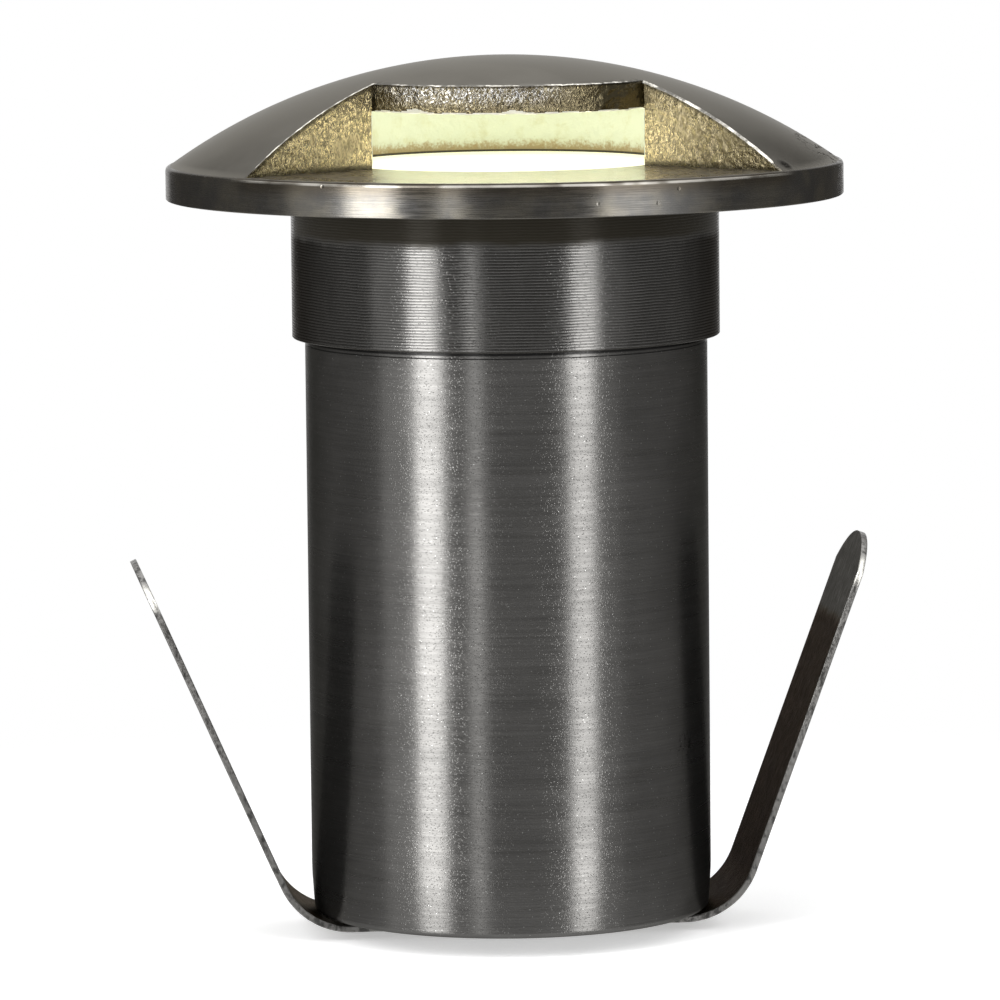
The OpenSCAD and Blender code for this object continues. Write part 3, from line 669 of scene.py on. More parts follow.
def lit_glass():
    """Moulded glass with the lamp's light in it: white over the lamp and warmer at its rim."""
    glass = Finish("lens_glass_lit", (0.96, 0.98, 0.93), 0.0, 0.22)
    glass.set("Transmission Weight", 0.6)
    glass.set("IOR", 1.5)
    glow = tone("light")
    face = glass.span(glass.axis("Z"), -0.35, -0.02, above=FLOOR_Z)
    near = glass.mixed(glass.span(glass.radius(), 9, 15), (1.0, 0.97, 0.84), glow)
    lit = glass.mixed(glass.span(glass.axis("Y"), 6, 13), near, (0.84, 0.83, 0.52))
    glass.set("Emission Color", glass.mixed(face, tinted(glow, 0.2), lit))
    glass.set("Emission Strength", 0.8)
    glass.bump(glass.grain(1.4, 2.0, 0.5), 0.01)
    return glass


def drifting(name, metallic, first, second, gloss, size, start=0.3, rough=0.6):
    """A finish whose colour and roughness drift between two levels each."""
    finish = Finish(name, first, metallic)
    cloud = finish.grain(size, 3.0, rough)
    finish.paint(finish.mixed(finish.band(cloud, start, 0.75), first, second))
    finish.shine(cloud, *gloss)
    return finish


def black_rubber():
    bloom = (0.06, 0.06, 0.062)
    rubber = drifting("seal_black_rubber", 0.0, tone("rubber"), bloom, (0.45, 0.7), 1.6, 0.45, 0.65)
    rubber.bump(rubber.grain(0.12, 2.0, 0.5), 0.01)
    return rubber


def pale_silicone():
    silicone = Finish("gasket_pale_silicone", (0.72, 0.71, 0.67), 0.0, 0.42)
    silicone.set("Subsurface Weight", 0.2)
    silicone.set("Subsurface Radius", (1.2 * MM, 1.0 * MM, 0.8 * MM))
    silicone.paint(silicone.mixed(silicone.grain(2), (0.76, 0.75, 0.71), (0.62, 0.6, 0.54)))
    silicone.bump(silicone.grain(0.2, 2.0, 0.5), 0.01)
    return silicone


def faced_plate(name, base, pitch):
    """A plate faced on a lathe, for the base and other steel pieces."""
    steel = drifting(name, 1.0, tinted(base, 0.7), tinted(base, 1.2), (0.24, 0.42), 4)
    steel.bump(steel.turned_lines(steel.radius(), pitch), 0.006)
    return steel


def plated_brass():
    tarnish = (0.42, 0.33, 0.17)
    brass = drifting("bushing_plated_brass", 1.0, (0.58, 0.5, 0.32), tarnish, (0.2, 0.4), 2.2, 0.35, 0.65)
    brass.bump(brass.grain(0.15, 2.0, 0.5, (0.2, 0.2, 1.0)), 0.008)
    return brass


def bright_reflector():
    """Vacuum-metallised bowl with a fine orange peel."""
    bowl = Finish("reflector_metallised", (0.86, 0.86, 0.84), 1.0)
    bowl.shine(bowl.grain(3), 0.06, 0.16)
    bowl.bump(bowl.grain(0.8, 2.0, 0.5), 0.012)
    return bowl


def moulded_plastic(name, base, gloss=0.4):
    """Moulded plastic with a fine spark-eroded skin."""
    plastic = drifting(name, 0.0, tinted(base, 0.9), tinted(base, 1.06), (gloss - 0.06, gloss + 0.08), 3)
    plastic.bump(plastic.grain(0.12, 2.0, 0.5), 0.008)
    return plastic


def lit_phosphor():
    """Cast phosphor over its chips, glowing."""
    disc = Finish("emitter_phosphor_lit", (0.95, 0.7, 0.12))
    chips = disc.cells(0.9, "F1", (1.0, 1.0, 0.0))
    glow = disc.mixed(disc.band(chips, 0.2, 0.6), (1.0, 0.86, 0.5), (1.0, 0.66, 0.16))
    disc.set("Emission Color", glow)
    disc.set("Emission Strength", 6.0)
    disc.bump(chips, 0.02)
    return disc


def board_mask(name, mask, copper, pitch):
    """Solder mask over copper: wandering tracks and round pads stand a little proud."""
    board = Finish(name, mask, 0.0, 0.32)
    raised = board.band(board.cells(pitch, "DISTANCE_TO_EDGE"), 0.05, 0.09)
    pads = board.dots(3.1, 0.1, 0.13)
    board.set("Metallic", pads)
    board.paint(board.mixed(pads, board.mixed(raised, tinted(mask, 0.72), mask), copper))
    board.bump(raised, 0.02)
    board.bump(board.grain(0.1, 2.0, 0.5), 0.003)
    return board


def anodised_sink():
    base = (0.5, 0.51, 0.52)
    sink = drifting("sink_machined_aluminium", 1.0, tinted(base, 0.8), tinted(base, 1.15), (0.3, 0.46), 3)
    sink.bump(sink.turned_lines(sink.radius(), 0.22), 0.008)
    sink.bump(sink.grain(0.1, 2.0, 0.6, (1.0, 1.0, 0.1)), 0.008)
    return sink


def wound_drum(node):
    """Ferrite drum along Y with turns of enamelled copper between its two flanges."""
    start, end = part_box(node)
    middle, half = (start.y + end.y) / 2, (end.y - start.y) / 2
    drum = Finish("inductor_wound_drum", (0.05, 0.05, 0.055))
    along = drum.axis("Y")
    off = drum.maths("ABSOLUTE", drum.maths("SUBTRACT", along, middle))
    wound = drum.band(off, 0.6 * half, 0.64 * half, 1.0, 0.0)
    # Painted shade and highlight of the winding: the copper is painted darker between the turns and paler on
    # them.
    turns = drum.turned_lines(along, 0.45, 0.05)
    copper = drum.mixed(turns, (0.2, 0.06, 0.02), (0.62, 0.25, 0.09))
    ferrite = drum.mixed(drum.grain(0.3), (0.04, 0.04, 0.045), (0.09, 0.09, 0.095))
    drum.paint(drum.mixed(wound, ferrite, copper))
    drum.set("Metallic", wound)
    drum.set("Roughness", drum.band(wound, 0.0, 1.0, 0.6, 0.28))
    drum.bump(drum.times(turns, wound), 0.12)
    drum.bump(drum.grain(0.2), 0.015)
    return drum


def shrunk_sleeve(node):
    """Shrunk sleeve of a capacitor, open over the bare end of its can."""
    sleeve = Finish("capacitor_shrunk_sleeve", (0.03, 0.035, 0.11))
    cloud = sleeve.grain(2)
    bare = sleeve.span(sleeve.axis("Y"), 0.1, 0.2, 1.0, 0.0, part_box(node)[0].y)
    film = sleeve.mixed(sleeve.band(cloud, 0.3, 0.75), (0.02, 0.024, 0.085), (0.045, 0.052, 0.15))
    sleeve.paint(sleeve.mixed(bare, film, (0.6, 0.6, 0.6)))
    sleeve.set("Metallic", bare)
    sleeve.shine(cloud, 0.24, 0.38)
    sleeve.bump(sleeve.grain(0.8, 2.0, 0.6, (1.0, 0.15, 1.0)), 0.03)
    return sleeve


def cast_resin():
    """Potting resin with a slow ripple and a few trapped bubbles."""
    base = (0.03, 0.03, 0.034)
    resin = Finish("potting_cast_resin", base, 0.0, 0.22)
    bubbles = resin.dots(2.6, 0.08, 0.14)
    resin.paint(resin.mixed(bubbles, base, (0.09, 0.09, 0.1)))
    resin.bump(resin.grain(5, 2.0, 0.5), 0.3)
    resin.bump(bubbles, 0.1)
    return resin


# Mesh helpers


def lathe(section, steps, closed=True):
    """Turns a half section, given as radius and height, about the axis into a new mesh."""
    bm = bmesh.new()
    verts = [bm.verts.new((r, 0.0, z)) for r, z in section]
    edges = [bm.edges.new(pair) for pair in zip(verts, verts[1:])]
    if closed:
        edges.append(bm.edges.new((verts[-1], verts[0])))
    full = {"angle": 2 * math.pi, "steps": steps, "use_merge": True}
    bmesh.ops.spin(bm, geom=verts + edges, cent=(0, 0, 0), axis=(0, 0, 1), **full)
    bmesh.ops.remove_doubles(bm, verts=bm.verts, dist=0.0005 * MM)
    bmesh.ops.dissolve_degenerate(bm, edges=bm.edges, dist=0.0005 * MM)
    bmesh.ops.recalc_face_normals(bm, faces=bm.faces)
    return bm


def arc(centre, radius, start, end, steps):
    """Points of a round stretch in a section, from one angle to another in degrees."""
    angles = [math.radians(start + (end - start) * i / steps) for i in range(steps + 1)]
    return [(centre[0] + radius * math.cos(a), centre[1] + radius * math.sin(a)) for a in angles]


def line(start, end, steps):
    """Even points of a straight stretch, without its last point."""
    along, up = end[0] - start[0], end[1] - start[1]
    return [(start[0] + along * i / steps, start[1] + up * i / steps) for i in range(steps)]


def only(geom, kind):
    return [g for g in geom if isinstance(g, kind)]


def carried(bm, edges, step):
    """Extrudes a rim by a step, and returns the new rim's points and edges."""
    geom = bmesh.ops.extrude_edge_only(bm, edges=edges)["geom"]
    verts = only(geom, bmesh.types.BMVert)
    bmesh.ops.translate(bm, verts=verts, vec=step)
    return verts, only(geom, bmesh.types.BMEdge)


def from_axis(vert, factor):
    """Scales a point's distance from the axis."""
    vert.co.x *= factor
    vert.co.y *= factor


def crisp(bm, degrees):
    """Smooth shading, with sharp edges past an angle."""
    limit = math.radians(degrees)
    for face in bm.faces:
        face.smooth = True
    for edge in bm.edges:
        edge.smooth = len(edge.link_faces) == 2 and edge.calc_face_angle(0.0) < limit


def piece(name, bm, finishes=(), body=None, replaces=()):
    """Makes an object at the origin from a finished mesh, and fits it into the frame."""
    mesh = bpy.data.meshes.new(name)
    bm.to_mesh(mesh)
    bm.free()
    obj = bpy.data.objects.new(name, mesh)
    bpy.context.scene.collection.objects.link(obj)
    for finish in finishes:
        mesh.materials.append(finish.material)
    if replaces:
        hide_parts(*replaces)
    if body:
        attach(obj, body)
    return obj


def dress(**finishes):
    """Gives CAD nodes their finishes."""
    for node, finish in finishes.items():
        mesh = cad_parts[node].data
        mesh.materials.clear()
        mesh.materials.append(finish.material)


def cut_out(obj, cutter):
    """Cuts one object out of another and returns the result as a mesh under construction."""
    cut = obj.modifiers.new("window", "BOOLEAN")
    cut.operation = "DIFFERENCE"
    cut.solver = "EXACT"
    cut.object = cutter
    graph = bpy.context.evaluated_depsgraph_get()
    bm = bmesh.new()
    bm.from_object(obj, graph)
    for spare in (obj, cutter):
        mesh = spare.data
        bpy.data.objects.remove(spare)
        bpy.data.meshes.remove(mesh)
    return bm


def pebbles(place, coarse, fine, strength):
    """Roughness of two sizes, in millimetres, the finer one with its own strength."""
    return noise.noise(place / (coarse * MM)) + strength * noise.noise(place / (fine * MM))


def helix_wave(position, pitch):
    """Height of a thread at a point, from nothing in its flat root to one on its flat crest."""
    turn = math.atan2(position.y, position.x) / (2 * math.pi)
    phase = (position.z / pitch - turn) % 1.0
    return 1.0 - min(1.0, max(0.0, abs(2 * phase - 1.0) * 1.25 - 0.125))


# Pieces


class WELL_OT_cap(bpy.types.Operator):
    """Turned and cast cap: dome, rim, skirt and the rough window"""

    bl_idname = "well.cap"
    bl_label = "Cap"

    # Points of the cutter's wall, along it and up it
    columns, rows = 420, 66
    # Shares of the rows that end under the worn edge, over it and at the smooth top
    below_edge, past_edge, smooth_top = 0.8, 0.96, 0.98
    # Shares of the rows, and of the wall's height that they reach: they gather round the bore's ceiling
    row_stops = ((0.0, 0.0), (0.34, 0.64), (0.56, 0.76), (1.0, 1.0))
    # How fast the rough skin comes in from a corner, for a wall with a length of 1
    corner_rate = 82
    # How far the side walls and the cutter run on past the rim
    overrun, front_y = 1.35, -1.6 * CAP_R

    def dome_height(self, radius):
        """Height of the dome over a distance from the axis."""
        return self.centre_z + math.sqrt(max(0.0, self.dome_r**2 - radius**2))

    def cap_section(self, cap):
        """Half section of the cap, from the top of the dome round to the bore's ceiling."""
        shoulder_r, b = CAP_R - cap.rim_round, cap.edge_break
        skirt_r, thread_r, bore_r = cap.skirt_radius, cap.thread_bore_radius, cap.bore_radius
        recess_r, ceiling_z = GLASS_FLANGE_R + 0.3 * MM, self.ceiling_z
        rows = int((THREAD_TOP - SEAL_TOP) / (0.125 * MM))
        return (
            [(shoulder_r * i / 40, self.dome_height(shoulder_r * i / 40)) for i in range(40)]
            + arc((shoulder_r, cap.rim_height), cap.rim_round, 90, 0, 6)
            + [(CAP_R, b), (CAP_R - b, 0.0), (skirt_r + b, 0.0), (skirt_r, -b)]
            + [(skirt_r, SKIRT_LOW + b), (skirt_r - b, SKIRT_LOW)]
            + [(SEAL_SEAT_R, SKIRT_LOW), (SEAL_SEAT_R, SEAL_TOP)]
            + line((thread_r, SEAL_TOP), (thread_r, THREAD_TOP), rows)
            + [(thread_r, THREAD_TOP), (recess_r, THREAD_TOP), (recess_r, SHOULDER_Z), (bore_r, SHOULDER_Z)]
            + line((bore_r, SHOULDER_Z + 0.3 * MM), (bore_r, ceiling_z), 20)
            + line((bore_r, ceiling_z), (bore_r - 2 * MM, ceiling_z), 8)
            + [(0.0, ceiling_z)]
        )

    def blank(self, cap):
        """The cap before its window is cut, with the thread and the bore's rough skin."""
        bm = lathe(self.cap_section(cap), 288, closed=False)
        hair = 0.01 * MM
        for vert in bm.verts:
            r, z = math.hypot(vert.co.x, vert.co.y), vert.co.z
            at_thread = SEAL_TOP + 0.1 * MM < z < THREAD_TOP - 0.1 * MM
            if at_thread and abs(r - cap.thread_bore_radius) < hair:
                depth = cap.thread_depth * (1.0 - helix_wave(vert.co, cap.thread_pitch))
                from_axis(vert, (r + depth) / r)
            elif r < cap.bore_radius + hair and FLOOR_Z + 0.5 * MM < z < self.ceiling_z + hair:
                rough = pebbles(vert.co, 0.9, 0.35, 0.6)
                if r > cap.bore_radius - 2.5 * MM and z > self.ceiling_z - hair:
                    vert.co.z += 0.13 * MM * rough
                elif r > 0.5 * cap.bore_radius:
                    from_axis(vert, (r - 0.05 * MM * (1.0 + rough)) / r)
        return bm

    def wall_path(self, cap, along):
        """Plan point on the window's wall, the direction into the metal and the side that it is on.

        The left side wall goes from 0 to 1 along, the lintel to 2 and the right side wall to 3.
        """
        corner_x = cap.window_half
        corner_y = -math.sqrt(cap.lintel_radius**2 - corner_x**2)
        if 1.0 <= along <= 2.0:
            half = math.asin(corner_x / cap.lintel_radius)
            turn = half * (2 * (along - 1.0) - 1.0)
            point = Vector((math.sin(turn), -math.cos(turn), 0.0)) * cap.lintel_radius
            return point, Vector((-math.sin(turn), math.cos(turn), 0.0)), "lintel"
        out = Vector((math.sin(cap.window_spread), -math.cos(cap.window_spread), 0.0))
        sign, name, away = (-1.0, "left", 1.0 - along) if along < 1.0 else (1.0, "right", along - 2.0)
        away *= self.overrun * (CAP_R - cap.lintel_radius)
        point = Vector((sign * (corner_x + away * out.x), corner_y + away * out.y, 0.0))
        return point, Vector((sign * -out.y, out.x, 0.0)), name

    def row_height(self, up, dome, lip):
        """Height of a row of the cutter's wall: close together over the worn edge, then clear of the cap."""
        if up >= self.past_edge:
            return DOME_TOP + 2 * MM
        if up >= self.below_edge:
            return dome + lip * 3.0 * ((up - self.below_edge) / (self.past_edge - self.below_edge) - 0.5)
        row = up / self.below_edge
        height = dome - 1.5 * lip - FLOOR_Z
        for (u0, v0), (u1, v1) in zip(self.row_stops, self.row_stops[1:]):
            if row <= u1:
                return FLOOR_Z + height * (v0 + (v1 - v0) * (row - u0) / (u1 - u0))

    def drip_depth(self, point, z):
        """How far the lintel's lower edge hangs out in drips at a height."""
        wave = 0.06 * MM * noise.noise(Vector((point.x, 0.0, 0.0)) / (1.6 * MM))
        x = point.x / MM
        swell = MM * sum(tall * math.exp(-(((x - at) / wide) ** 2)) for at, wide, tall in DRIPS)
        drip = max(0.0, self.ceiling_z + 0.1 * MM + wave + swell - z)
        return min(drip, 0.5 * MM) * min(1.0, (z - FLOOR_Z) / MM)

    def cutter(self, cap):
        """The window as a solid: one long rough wall, carried out past the rim and closed."""
        bm = bmesh.new()
        grid = bmesh.ops.create_grid(bm, x_segments=self.columns, y_segments=self.rows, size=0.5)
        for vert in grid["verts"]:
            along, up = (vert.co.x + 0.5) * 3.0, vert.co.y + 0.5
            point, inward, side = self.wall_path(cap, along)
            r = point.length
            dome = max(self.dome_height(min(r, CAP_R)), FLOOR_Z + 0.9 * MM)
            lip = getattr(cap, "lip_" + side)
            z = self.row_height(up, dome, lip)
            here = Vector((point.x, point.y, z))
            pebble = pebbles(here, 0.5, 0.24, 0.5)
            wrinkle = noise.noise(here / (1.1 * MM))
            relief = cap.cast_relief * (0.7 * pebble + 0.5 * wrinkle)
            if side == "lintel":
                relief += 0.5 * cap.cast_relief * wrinkle + self.drip_depth(point, z)
            from_corner = min(abs(along - 1.0), abs(along - 2.0)) * self.corner_rate
            quiet = min(from_corner, (z - FLOOR_Z) / (0.3 * MM), (CAP_R + MM - r) / (0.5 * MM))
            quiet = max(0.0, min(1.0, quiet)) if up < self.smooth_top else 0.0
            flare = min(3.0 * lip, max(0.0, z - (dome - lip)))
            vert.co = here + inward * (relief * quiet + flare)
        outline = [e for e in bm.edges if e.is_boundary]
        out = bmesh.ops.extrude_edge_only(bm, edges=outline)["geom"]
        for vert in only(out, bmesh.types.BMVert):
            vert.co.y = self.front_y
        bmesh.ops.contextual_create(bm, geom=[e for e in bm.edges if e.is_boundary])
        bmesh.ops.recalc_face_normals(bm, faces=bm.faces)
        return bm

    def zone(self, cap, face):
        """Which of the cap's finishes a face takes."""
        c, n = face.calc_center_median(), face.normal
        r, z, front = math.hypot(c.x, c.y), c.z, c.y < 0.0
        hair = 0.02 * MM
        on_dome = abs((c - Vector((0.0, 0.0, self.centre_z))).length - self.dome_r) < hair
        from_wall, over_ceiling = r - cap.lintel_radius, z - self.ceiling_z
        if z > cap.rim_height and on_dome and n.z > 0.75:
            return DOME
        if r > CAP_R - cap.rim_round - hair and z > 0.0:
            return RIM
        if n.z > 0.99 and abs(z - FLOOR_Z) < hair:
            return FLAT
        side = "lintel" if abs(c.x) <= cap.window_half else "left" if c.x < 0.0 else "right"
        under_lip = z > self.dome_height(r) - getattr(cap, "lip_" + side)
        if under_lip and z > FLOOR_Z and from_wall > -0.6 * MM and front:
            return LIP
        if -0.2 * MM < over_ceiling < 0.9 * MM and front and n.z < -0.35:
            return BORE
        between = abs(c.x) < cap.window_half - 0.05 * MM
        if over_ceiling > 0.0 and abs(from_wall) < 0.4 * MM and between and front:
            return LINTEL
        past_bore = from_wall > -0.4 * MM and r > cap.bore_radius + hair
        if z > FLOOR_Z - 0.01 * MM and past_bore and not on_dome:
            return WALL
        if over_ceiling > 0.01 * MM and front and from_wall > -0.5 * MM:
            return LINTEL
        if r < cap.bore_radius + 0.3 * MM and z > SHOULDER_Z:
            return BORE
        if abs(z) < 0.2 * MM and r > cap.skirt_radius:
            return FLANGE
        return SKIRT if r > cap.skirt_radius - 0.3 * MM else THREAD

    def execute(self, context):
        cap = context.scene.well_cap
        shoulder_r, rise = CAP_R - cap.rim_round, DOME_TOP - (cap.rim_height + cap.rim_round)
        self.dome_r = (shoulder_r**2 + rise**2) / (2 * rise)
        self.centre_z = DOME_TOP - self.dome_r
        self.ceiling_z = FLOOR_Z + cap.opening_height
        bm = cut_out(piece("cap_blank", self.blank(cap)), piece("window_cutter", self.cutter(cap)))
        for face in bm.faces:
            face.material_index = self.zone(cap, face)
        crisp(bm, 32)
        dome = (self.centre_z, self.dome_r)
        finishes = {
            DOME: satin_dome(),
            RIM: turned_rim(),
            FLAT: turned_floor(cap.window_half),
            SKIRT: turned_skirt(),
            WALL: cast_skin(dome),
            BORE: cast_bore(self.ceiling_z),
            LIP: worn_and_highlight_edge(),
            THREAD: threaded_steel(),
            LINTEL: cast_lintel(dome),
            FLANGE: faced_plate("cap_flange_faced", (0.22, 0.215, 0.2), 0.24),
        }
        piece("cap_body", bm, finishes.values(), "cap", ["dome_cap"])
        return {"FINISHED"}


class WELL_OT_glass(bpy.types.Operator):
    """Stepped glass lens, lit from below"""

    bl_idname = "well.glass"
    bl_label = "Glass"

    def execute(self, context):
        dress(glass_lens=lit_glass())
        return {"FINISHED"}


class WELL_OT_tube(bpy.types.Operator):
    """Brushed housing tube with its cut thread"""

    bl_idname = "well.tube"
    bl_label = "Tube"

    def section(self, tube):
        """Closed half section, from the bore's lower end round by the foot and the thread."""
        bore_r, thread_r, edge = tube.bore_radius, tube.thread_radius, tube.foot_edge
        foot_r, taper_z, thread_low = TUBE_R - tube.foot_taper, BASE_Z + tube.foot_height, -tube.thread_low
        rows = int((TUBE_TOP - thread_low) / (0.11 * MM))
        return (
            [(bore_r, BASE_Z), (foot_r - edge, BASE_Z)]
            + arc((foot_r - edge, BASE_Z + edge), edge, -80, 0, 6)
            + [(TUBE_R - 0.02 * MM, taper_z), (TUBE_R, taper_z + 1.0 * MM)]
            + line((TUBE_R, taper_z + 2 * MM), (TUBE_R, thread_low - 0.1 * MM), 12)
            + [(TUBE_R, thread_low - 0.1 * MM)]
            + line((thread_r, thread_low), (thread_r, TUBE_TOP - 0.3 * MM), rows)
            + [(thread_r, TUBE_TOP - 0.3 * MM), (thread_r - 0.3 * MM, TUBE_TOP)]
            + [(bore_r + 0.15 * MM, TUBE_TOP), (bore_r, TUBE_TOP - 0.15 * MM)]
        )

    def execute(self, context):
        tube, pitch = context.scene.well_housing, context.scene.well_cap.thread_pitch
        bm = lathe(self.section(tube), 256)
        for vert in bm.verts:
            r = math.hypot(vert.co.x, vert.co.y)
            ends = min(vert.co.z - SKIRT_LOW, TUBE_TOP - vert.co.z) / pitch
            if r > tube.thread_radius - 0.4 * MM and ends > 0.0:
                depth = tube.thread_depth * min(1.0, ends) * (1.0 - helix_wave(vert.co, pitch))
                from_axis(vert, (r - depth) / r)
        for face in bm.faces:
            face.material_index = 1 if face.calc_center_median().z > SKIRT_LOW else 0
        crisp(bm, 40)
        piece("housing_tube", bm, [brushed_tube(), threaded_steel()], "housing", ["body_tube"])
        return {"FINISHED"}


class WELL_OT_base(bpy.types.Operator):
    """Faced plate that closes the tube's lower end"""

    bl_idname = "well.base"
    bl_label = "Base"

    def execute(self, context):
        dress(base_plate=faced_plate("base_faced_steel", (0.2, 0.2, 0.195), 0.3))
        return {"FINISHED"}


class WELL_OT_clip(bpy.types.Operator):
    """Spring clip: the flat under the base and the two arms that rise from it"""

    bl_idname = "well.clip"
    bl_label = "Spring clip"

    # Share of the flat's half length at which an arm begins
    seam_share = 0.75

    def strip_edge(self, clip, x):
        """Closed outline of the strip's cross section at a place along the flat."""
        w, t, b = clip.width / 2, clip.thickness / 2, 0.09 * MM
        corners = [
            (w - b, -t), (w, b - t), (w, t - b), (w - b, t),
            (b - w, t), (-w, t - b), (-w, b - t), (b - w, -t),
        ]
        return [Vector((x, y, STRIP_TOP - t + z)) for y, z in corners]

    def arm(self, clip, splay):
        """One arm on the +X side, from the flat round the bend and up to its curved tip."""
        bm = bmesh.new()
        seam = self.seam_share * clip.flat
        verts = [bm.verts.new(co) for co in self.strip_edge(clip, seam)]
        rim = [bm.edges.new(pair) for pair in zip(verts, verts[1:] + verts[:1])]
        for _ in range(4):
            verts, rim = carried(bm, rim, ((clip.flat - seam) / 4, 0, 0))
        centre = Vector((clip.flat, 0.0, STRIP_TOP - clip.thickness / 2 + clip.bend_radius))
        bend = {"cent": centre, "axis": (0, -1, 0), "angle": math.pi / 2 - splay, "steps": 20}
        rim = only(bmesh.ops.spin(bm, geom=verts + rim, **bend)["geom_last"], bmesh.types.BMEdge)
        up = Vector((math.sin(splay), 0.0, math.cos(splay)))
        out = Vector((math.cos(splay), 0.0, -math.sin(splay)))
        foot = centre + clip.bend_radius * out
        half, tip_low = clip.width / 2, clip.arm_length - clip.tip_height
        tip_r = (half**2 + clip.tip_height**2) / (2 * clip.tip_height)
        tip_centre = clip.arm_length - tip_r
        start = math.acos(half / tip_r)
        heights = [tip_low * i / 12 for i in range(1, 13)]
        angles = [start + (math.pi / 2 - start) * i / 18 for i in range(1, 19)]
        heights += [tip_centre + tip_r * math.sin(a) for a in angles]
        for height, last in zip(heights, [0.0] + heights):
            rim = carried(bm, rim, up * (height - last))[1]
        for vert in bm.verts:
            height = (vert.co - foot).dot(up)
            if height > tip_low and (vert.co - centre).dot(out) > 0:
                wide = math.sqrt(max(0.0, tip_r**2 - (height - tip_centre) ** 2))
                vert.co.y *= wide / half
        bmesh.ops.remove_doubles(bm, verts=bm.verts, dist=0.002 * MM)
        bmesh.ops.holes_fill(bm, edges=[e for e in bm.edges if e.is_boundary], sides=0)
        bmesh.ops.recalc_face_normals(bm, faces=bm.faces)
        for face in bm.faces:
            at_tip = (face.calc_center_median() - foot).dot(up) > tip_low
            if at_tip and abs(face.normal.dot(out)) < 0.9:
                face.material_index = 1
        return bm

    def centre_plate(self, clip):
        """The flat under the base between the two arms' seams, with the hole for the bushing."""
        bm = bmesh.new()
        seam, half = self.seam_share * clip.flat, clip.width / 2 - 0.02 * MM
        bmesh.ops.create_circle(bm, radius=clip.hole_radius, segments=48)
        for vert in bmesh.ops.create_circle(bm, radius=1.0, segments=48)["verts"]:
            stretch = 1.0 / max(abs(vert.co.x), abs(vert.co.y))
            vert.co = Vector((vert.co.x * stretch * seam, vert.co.y * stretch * half, 0.0))
        bmesh.ops.bridge_loops(bm, edges=bm.edges[:])
        bmesh.ops.solidify(bm, geom=bm.faces[:], thickness=clip.thickness)
        bmesh.ops.recalc_face_normals(bm, faces=bm.faces)
        high = max(v.co.z for v in bm.verts)
        bmesh.ops.translate(bm, verts=bm.verts, vec=(0, 0, STRIP_TOP - high))
        return bm

    def finish(self, bm, turn):
        """Turns a part of the clip into place and sorts its edges from its faces."""
        for face in bm.faces:
            if abs(face.normal.y) > 0.4:
                face.material_index = 1
        bmesh.ops.rotate(bm, cent=(0, 0, 0), matrix=Matrix.Rotation(turn, 3, "Z"), verts=bm.verts)
        crisp(bm, 40)
        return bm

    def bend_point(self, clip, turn, degrees):
        """Point in the middle of the bend, at an angle from its start."""
        a, radius = math.radians(degrees), clip.bend_radius
        bend_z = STRIP_TOP - clip.thickness / 2 + radius
        place = Vector((clip.flat + radius * math.sin(a), 0.0, bend_z - radius * math.cos(a)))
        return tuple(Matrix.Rotation(turn, 3, "Z") @ place)

    def execute(self, context):
        clip = context.scene.well_clip
        finishes = [spring_faces(), spring_edges()]
        plate = self.finish(self.centre_plate(clip), clip.turn)
        piece("clip_flat", plate, finishes, "housing", ["clip_bridge"])
        sides = (
            ("left_arm", "clip_arm_left", clip.splay_left, clip.turn + math.pi),
            ("right_arm", "clip_arm_right", clip.splay_right, clip.turn),
        )
        for body, node, splay, turn in sides:
            arm = self.finish(self.arm(clip, splay), turn)
            obj = piece("clip_" + body, arm, finishes, None, [node])
            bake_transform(obj)
        return {"FINISHED"}


class WELL_OT_seals(bpy.types.Operator):
    """Gaskets and seals of the cap, the glass, the base and the cable entry"""

    bl_idname = "well.seals"
    bl_label = "Seals"

    def execute(self, context):
        black = ("skirt_seal", "glass_gasket_upper", "base_washer", "bushing_o_ring", "cable_seal")
        dress(glass_gasket_lower=pale_silicone(), **dict.fromkeys(black, black_rubber()))
        return {"FINISHED"}


class WELL_OT_cable_entry(bpy.types.Operator):
    """Bushing and lock nut of the cable entry"""

    bl_idname = "well.cable_entry"
    bl_label = "Cable entry"

    def execute(self, context):
        lock_nut = faced_plate("nut_zinc_plated", (0.46, 0.46, 0.45), 0.25)
        dress(cable_bushing=plated_brass(), lock_nut=lock_nut)
        return {"FINISHED"}


class WELL_OT_light_engine(bpy.types.Operator):
    """Reflector, its holder, the emitter and its board, screws and thermal pad"""

    bl_idname = "well.light_engine"
    bl_label = "Light engine"

    def execute(self, context):
        dress(
            reflector=bright_reflector(),
            reflector_holder=moulded_plastic("holder_white_plastic", (0.78, 0.78, 0.75)),
            led_phosphor=lit_phosphor(),
            led_chip=moulded_plastic("emitter_ceramic", (0.82, 0.81, 0.76), 0.3),
            led_board=board_mask("board_white_mask", (0.8, 0.81, 0.79), (0.75, 0.73, 0.7), 3.4),
            board_screws=faced_plate("screw_steel", (0.5, 0.5, 0.48), 0.2),
            thermal_pad=moulded_plastic("pad_grey_silicone", (0.3, 0.36, 0.48), 0.6),
        )
        return {"FINISHED"}


class WELL_OT_heat_sink(bpy.types.Operator):
    """Finned heat sink under the board"""

    bl_idname = "well.heat_sink"
    bl_label = "Heat sink"

    def execute(self, context):
        dress(heat_sink=anodised_sink())
        return {"FINISHED"}


